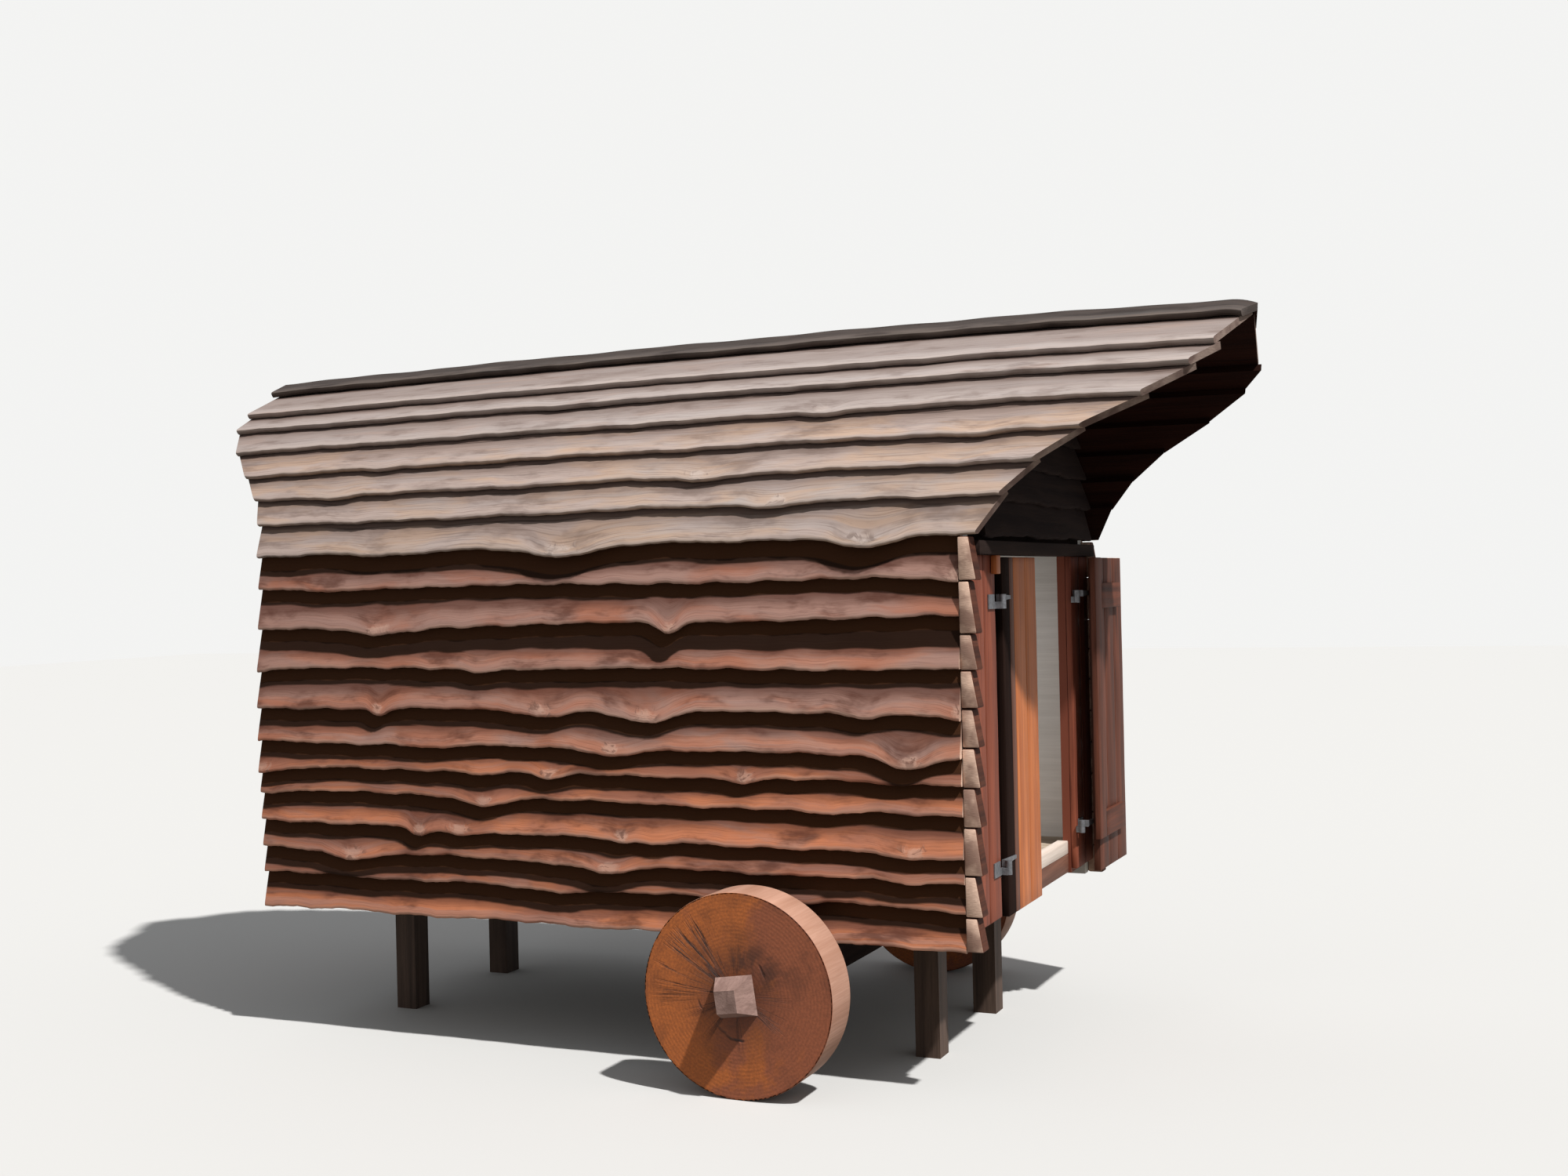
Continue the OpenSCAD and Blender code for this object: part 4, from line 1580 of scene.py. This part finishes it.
    def build(self) -> None:
        """Build the roof and let it stand for its nodes."""
        f = self.finishes
        for side, facing in (("left", Facing.LEFT), ("right", Facing.RIGHT)):
            phases = ROOF_PHASES[side]
            boards = self.boards(facing, phases[0])
            for board in boards:
                dress(board, f.roof, f.roof_back, f.roof_end)
            roof = join(f"{side}_roof_planks", boards)
            cap = join(f"{side}_ridge_plank", [self.ridge(facing, phases[1])])
            dress(cap, f.cap, f.roof_back, f.cap)
            self.wear(cap)
            for piece, node in ((roof, "roof_boards"), (cap, "ridge_board")):
                self.bow(piece)
                smooth(piece)
                settle(piece, "hut", "grey_wood", f"{side}_{node}")


@dataclass
class Joinery:
    """Timbers of the front wall: casings, rail, sill, the board below it, and the two leaves.

    pin is the left hinge, ease the width of eased edges, leaf_edge the outer edge of a leaf's boards
    and leaf_gap the gap between the leaves. Heights are above the lowest wall edge, left_open is in
    degrees, and everything else in millimetres.
    """

    finishes: Finishes
    pin: Vector
    ease: float = 3
    leaf_edge: float = 384
    leaf_gap: float = 6
    leaf_boards: int = 3
    leaf_z: Span = (36, 1144)
    hinge_z: Span = (201, 1009)
    left_open: float = 179
    seam: float = 1.2
    batten_t: float = 20
    batten_gap: float = 0.3
    ledge_half: float = 45
    # Inner ends of the ledges, from the middle of the doorway, and how far they stop short outside
    ledge_start: float = 90
    ledge_short: float = 25
    # Edges of the stile, from the leaf's outer edge
    stile_y: Span = (-24, 65)
    # Gap between the two boards of a casing
    casing_gap: float = 5
    # Share of the right leaf's outer board that is brown, beside its near-black strip of painted shadow
    brown_part: float = 0.35
    # The block under the door head: out from the front, across, and up from the lowest wall edge
    block_x: Span = (0.5, 20)
    block_y: Span = (-500, -457)
    block_z: Span = (1092, 1149)

    def timber(self, node: str, face: bpy.types.Material, end: bpy.types.Material, slot: str) -> None:
        """Replace a box-shaped node that lies across the hut by a timber with eased edges.

        Args:
            node: The node, whose box gives the size.
            face: Finish of the long faces.
            end: Finish of the cut ends.
            slot: The record's material slot.
        """
        low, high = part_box(node)
        piece = plank(f"{node}_timber", low / MM, high / MM, AXIS_Y, self.ease)
        dress(piece, face, end)
        settle(piece, "hut", slot, node)

    def hang(self, side: str, piece: bpy.types.Object) -> None:
        """Swing a piece of the left leaf from closed to its open place; the right leaf stays closed.

        Args:
            side: "left" or "right".
            piece: The piece, drawn closed.
        """
        if side == "left":
            swing = Matrix.Rotation(math.radians(self.left_open), 4, "Z")
            piece.matrix_world = Matrix.Translation(self.pin) @ swing @ Matrix.Translation(-self.pin)
            apply_place(piece)

    def board(self, side: str, name: str, x: Span, y: Span, z: Span, grain: int) -> bpy.types.Object:
        """Model one timber of a closed leaf.

        Args:
            side: "left" or "right".
            name: Name of the timber.
            x: Back and front, mm.
            y: Distances from the middle of the doorway, mm.
            z: Bottom and top above the lowest wall edge, mm.
            grain: Axis of the grain.

        Returns:
            The timber.
        """
        low_y, high_y = y if side == "left" else (-y[1], -y[0])
        low, high = (x[0], low_y, z[0] + SIZES.ground_gap), (x[1], high_y, z[1] + SIZES.ground_gap)
        return plank(f"{side}_{name}", low, high, grain, bevel=2.5, wobble=0.9)

    def leaf(self, side: str) -> None:
        """Build one leaf: its boards, and the stile and ledges behind them.

        Args:
            side: "left" or "right".
        """
        f, front, inner = self.finishes, SIZES.front_x, SIZES.front_x - SIZES.board_t
        step = (self.leaf_edge - self.leaf_gap / 2) / self.leaf_boards
        cuts = [self.leaf_gap / 2 + i * step for i in range(self.leaf_boards)]
        cuts += [cuts[-1] + self.brown_part * step, self.leaf_edge] if side == "right" else [self.leaf_edge]
        # The right leaf's outer strip is near-black: painted shadow of the gap beside the casing
        faces = [f.orange, f.orange, f.brown, f.stile] if side == "right" else [f.worn] * self.leaf_boards
        boards = []
        for i, face in enumerate(faces):
            span = (cuts[i], cuts[i + 1] - self.seam)
            boards.append(self.board(side, f"leaf_{i}", (inner, front), span, self.leaf_z, AXIS_Z))
            dress(boards[-1], face, f.board_end)
        back = (inner - self.batten_gap - self.batten_t, inner - self.batten_gap)
        stile_y = tuple(self.leaf_edge + y for y in self.stile_y)
        stile_z = (self.hinge_z[0] - self.ledge_half, self.leaf_z[1])
        battens = [self.board(side, "stile", back, stile_y, stile_z, AXIS_Z)]
        ledge_y = (self.ledge_start, self.leaf_edge - self.ledge_short)
        for k, z in enumerate(self.hinge_z):
            ledge_z = (z - self.ledge_half, z + self.ledge_half)
            battens.append(self.board(side, f"ledge_{k}", back, ledge_y, ledge_z, AXIS_Y))
        for batten in battens:
            # The right leaf's battens are near-black, painted shadow; so are the battens' ends on both leaves
            dress(batten, f.stile if side == "right" else f.worn, f.stile)
        pieces = (("leaf_boards", boards, "leaf", "orange_wood"), ("leaf_battens", battens, "ledges", "dark_wood"))
        for name, parts, node, slot in pieces:
            piece = join(f"{side}_{name}", parts)
            self.hang(side, piece)
            settle(piece, f"{side}_door", slot, f"{side}_{node}")

    def casing(self, side: str) -> None:
        """Build the casing beside the doorway, two upright boards side by side.

        Args:
            side: "left" or "right".
        """
        low, high = (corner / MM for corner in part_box(f"{side}_casing"))
        middle, half_gap = (low.y + high.y) / 2, self.casing_gap / 2
        boards = []
        for name, a, b in (("a", low.y, middle - half_gap), ("b", middle + half_gap, high.y)):
            first, last = (low.x, a, low.z), (high.x, b, high.z)
            boards.append(plank(f"{side}_casing_{name}", first, last, AXIS_Z, self.ease, wobble=1.2))
            dress(boards[-1], self.finishes.red, self.finishes.board_end)
        settle(join(f"{side}_casing_boards", boards), "hut", "red_wood", f"{side}_casing")

    def head_block(self) -> None:
        """Build the small block under the door head, beside the near leaf."""
        spans = zip(self.block_x, self.block_y, self.block_z)
        low, high = ((SIZES.front_x + x, y, SIZES.ground_gap + z) for x, y, z in spans)
        block = plank("head_block", low, high, AXIS_Z, self.ease)
        dress(block, self.finishes.orange, self.finishes.orange)
        settle(block, "hut", "orange_wood")

    def build(self) -> None:
        """Build the joinery."""
        f = self.finishes
        for side in ("left", "right"):
            self.casing(side)
            self.leaf(side)
        self.head_block()
        # The door head is near-black: painted shade
        self.timber("door_head", f.dark, f.dark, "dark_wood")
        self.timber("door_sill", f.pale, f.board_end, "pale_wood")
        self.timber("base_board", f.brown, f.board_end, "red_wood")


@dataclass
class Wheels:
    """Log-disc wheels: their segments, the radius and depth of the bore, and the eased rim, mm."""

    finishes: Finishes
    segments: int = 120
    bore: float = 35.1
    depth: float = 125
    ease: float = 5
    # Widths of the rings of faces of the outer side, from the rim inwards, as shares of the radius
    insets: tuple[float, ...] = (0.16, 0.2, 0.272, 0.4)

    def disc(self, side: str) -> None:
        """Model one wheel: a disc with eased rims and a blind bore from the inner face.

        Args:
            side: "left" or "right".
        """
        low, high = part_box(f"{side}_wheel")
        centre, thick = (low + high) / 2, high.y - low.y
        radius = (high.x - low.x) / 2
        out = 1 if side == "left" else -1
        deselect()
        place = {"location": centre, "rotation": (math.pi / 2, 0, 0)}
        bpy.ops.mesh.primitive_cylinder_add(
            vertices=self.segments, radius=radius, depth=thick, end_fill_type="NGON", **place
        )
        wheel = bpy.context.object
        apply_place(wheel)
        pick(wheel, "FACE", lambda c, n: abs(n.y) > 0.9)
        bpy.ops.mesh.inset(thickness=self.ease * MM, depth=0)
        bpy.ops.mesh.select_all(action="DESELECT")
        bpy.ops.mesh.edges_select_sharp(sharpness=math.radians(60))
        bpy.ops.mesh.bevel(offset=self.ease * MM * 0.8, segments=3, affect="EDGES")
        pick(wheel, "FACE", lambda c, n: n.y * out < -0.9 and (c - centre).length < thick * 0.6)
        bpy.ops.mesh.inset(thickness=radius - self.ease * MM - self.bore * MM, depth=0)
        bpy.ops.mesh.extrude_region_move(TRANSFORM_OT_translate={"value": (0, out * self.depth * MM, 0)})
        pick(wheel, "FACE", lambda c, n: n.y * out > 0.9 and (c - centre).length < thick * 0.6)
        for share in self.insets:
            bpy.ops.mesh.inset(thickness=radius * share, depth=0)
        bpy.ops.object.mode_set(mode="OBJECT")
        dress(wheel, self.finishes.wheel_rim, DiscTimber(f"{side}_wheel_face", tuple(centre)).material())
        for face in wheel.data.polygons:
            face.material_index = 1 if abs(face.normal.y) > 0.7 else 0
        wheel = join(f"{side}_wheel_disc", [wheel])
        smooth(wheel)
        settle(wheel, f"{side}_wheel_set", "wheel_wood", f"{side}_wheel")

    def build(self) -> None:
        """Build both wheels."""
        for side in ("left", "right"):
            self.disc(side)


@dataclass
class CarriedNodes:
    """Nodes whose shape is right as it is, with their finishes."""

    finishes: Finishes

    def build(self, nodes: dict[str, bpy.types.Object]) -> None:
        """Give every carried-over node its material.

        Args:
            nodes: The frame's nodes by name.
        """
        f = self.finishes
        plan = {
            f.dark_x: ("left_bearer", "right_bearer"),
            # Near-black: painted shade
            f.dark: ("axle_beam", "front_gable"),
            f.dark_z: ("front_left_post", "front_right_post", "rear_left_post", "rear_right_post"),
            f.lining: ("left_wall", "right_wall", "left_vault", "right_vault"),
            f.lining_y: ("rear_wall",),
            f.floor: ("floor_deck",),
            f.red: ("left_jamb", "right_jamb"),
            f.hub: ("left_hub_block", "right_hub_block"),
            f.steel: ("left_hinge_plates", "right_hinge_plates", "left_hinge_straps", "right_hinge_straps"),
        }
        for material, names in plan.items():
            for name in names:
                dress(nodes[name], material)
                LOG.info("%s wears %s", name, material.name)


@dataclass
class Studio:
    """Floor, lamps and camera, in metres and degrees; focal_px is for a picture of 2000 pixels."""

    sun_from: tuple[float, float, float] = (0.6, -0.27, 1.0)
    sun_strength: float = 5.0
    sun_spread: float = 1.8
    sky_strength: float = 0.42
    room_lamp: tuple[float, float, float] = (0.6, -0.1, 1.15)
    room_aim: tuple[float, float, float] = (1.05, 0.6, 1.0)
    room_power: float = 2.2
    room_size: float = 0.5
    eye: tuple[float, float, float] = (2.7075, -5.51, 1.515)
    focal_px: float = 2203
    yaw: float = 23.91
    pitch: float = -0.17
    roll: float = -1.33

    def build(self) -> None:
        """Build the studio."""
        self.floor()
        self.lamps()
        self.camera()

    def floor(self) -> None:
        """Lay a plain pale floor."""
        deselect()
        bpy.ops.mesh.primitive_plane_add(size=60, location=(0, 0, 0))
        floor = bpy.context.object
        floor.name = "studio_floor"
        r = Recipe("studio_floor")
        camera, gloss, glass = (
            r.node("ShaderNodeLightPath", out=f"Is {kind} Ray") for kind in ("Camera", "Glossy", "Transmission")
        )
        seen = camera.larger(gloss).larger(glass)
        colour = r.mix(seen, (0.16, 0.15, 0.13), (0.53, 0.52, 0.50))
        dress(floor, r.finish(Base_Color=colour, Roughness=0.9, Specular_IOR_Level=0.1))

    def lamps(self) -> None:
        """Light the hut by a soft sun, an even sky and a soft lamp in its room."""
        deselect()
        bpy.ops.object.light_add(type="SUN", location=(3, -3, 8))
        sun = bpy.context.object
        sun.data.energy = self.sun_strength
        sun.data.angle = math.radians(self.sun_spread)
        sun.rotation_euler = Vector(self.sun_from).to_track_quat("Z", "Y").to_euler()
        bpy.ops.object.light_add(type="AREA", location=self.room_lamp)
        room = bpy.context.object
        room.data.energy = self.room_power
        room.data.size = self.room_size
        room.visible_camera = False
        behind = Vector(self.room_lamp) - Vector(self.room_aim)
        room.rotation_euler = behind.to_track_quat("Z", "Y").to_euler()
        world = bpy.data.worlds.new("sky")
        bpy.context.scene.world = world
        world.use_nodes = True
        nodes, links = world.node_tree.nodes, world.node_tree.links
        sky = nodes["Background"]
        sky.inputs["Color"].default_value = (0.93, 0.96, 1.0, 1)
        sky.inputs["Strength"].default_value = self.sky_strength
        plain = nodes.new("ShaderNodeBackground")  # what the camera sees
        plain.inputs["Color"].default_value = (0.90, 0.90, 0.89, 1)
        path = nodes.new("ShaderNodeLightPath")
        pick_one = nodes.new("ShaderNodeMixShader")
        links.new(path.outputs["Is Camera Ray"], pick_one.inputs[0])
        links.new(sky.outputs[0], pick_one.inputs[1])
        links.new(plain.outputs[0], pick_one.inputs[2])
        links.new(pick_one.outputs[0], nodes["World Output"].inputs["Surface"])

    def camera(self) -> None:
        """Place the camera where the photograph was taken from."""
        yaw, pitch, roll = (math.radians(a) for a in (self.yaw, self.pitch, self.roll))
        ahead = Vector((-math.sin(yaw) * math.cos(pitch), math.cos(yaw) * math.cos(pitch), math.sin(pitch)))
        right = Vector((math.cos(yaw), math.sin(yaw), 0))
        up = right.cross(ahead)
        side = right * math.cos(roll) + up * math.sin(roll)
        top = -right * math.sin(roll) + up * math.cos(roll)
        deselect()
        bpy.ops.object.camera_add()
        camera = bpy.context.object
        camera.data.sensor_width = 36
        camera.data.lens = self.focal_px * camera.data.sensor_width / 2000
        camera.matrix_world = Matrix((side, top, -ahead)).transposed().to_4x4()
        camera.location = self.eye
        bpy.context.scene.camera = camera


def main() -> None:
    """Dress the hut and set up the studio."""
    logging.basicConfig(level=logging.INFO, format="%(message)s")
    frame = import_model()
    bpy.context.scene.view_settings.view_transform = "Standard"
    finishes = Finishes()
    WallCladding(finishes).build()
    RoofCladding(finishes).build()
    pins = {joint["name"]: Vector(joint["pos_m"]) for joint in frame["joints"]}
    Joinery(finishes, pins["left_door_hinge"]).build()
    Wheels(finishes).build()
    CarriedNodes(finishes).build(frame["nodes"])
    Studio().build()
    deselect()


if __name__ == "__main__":
    main()
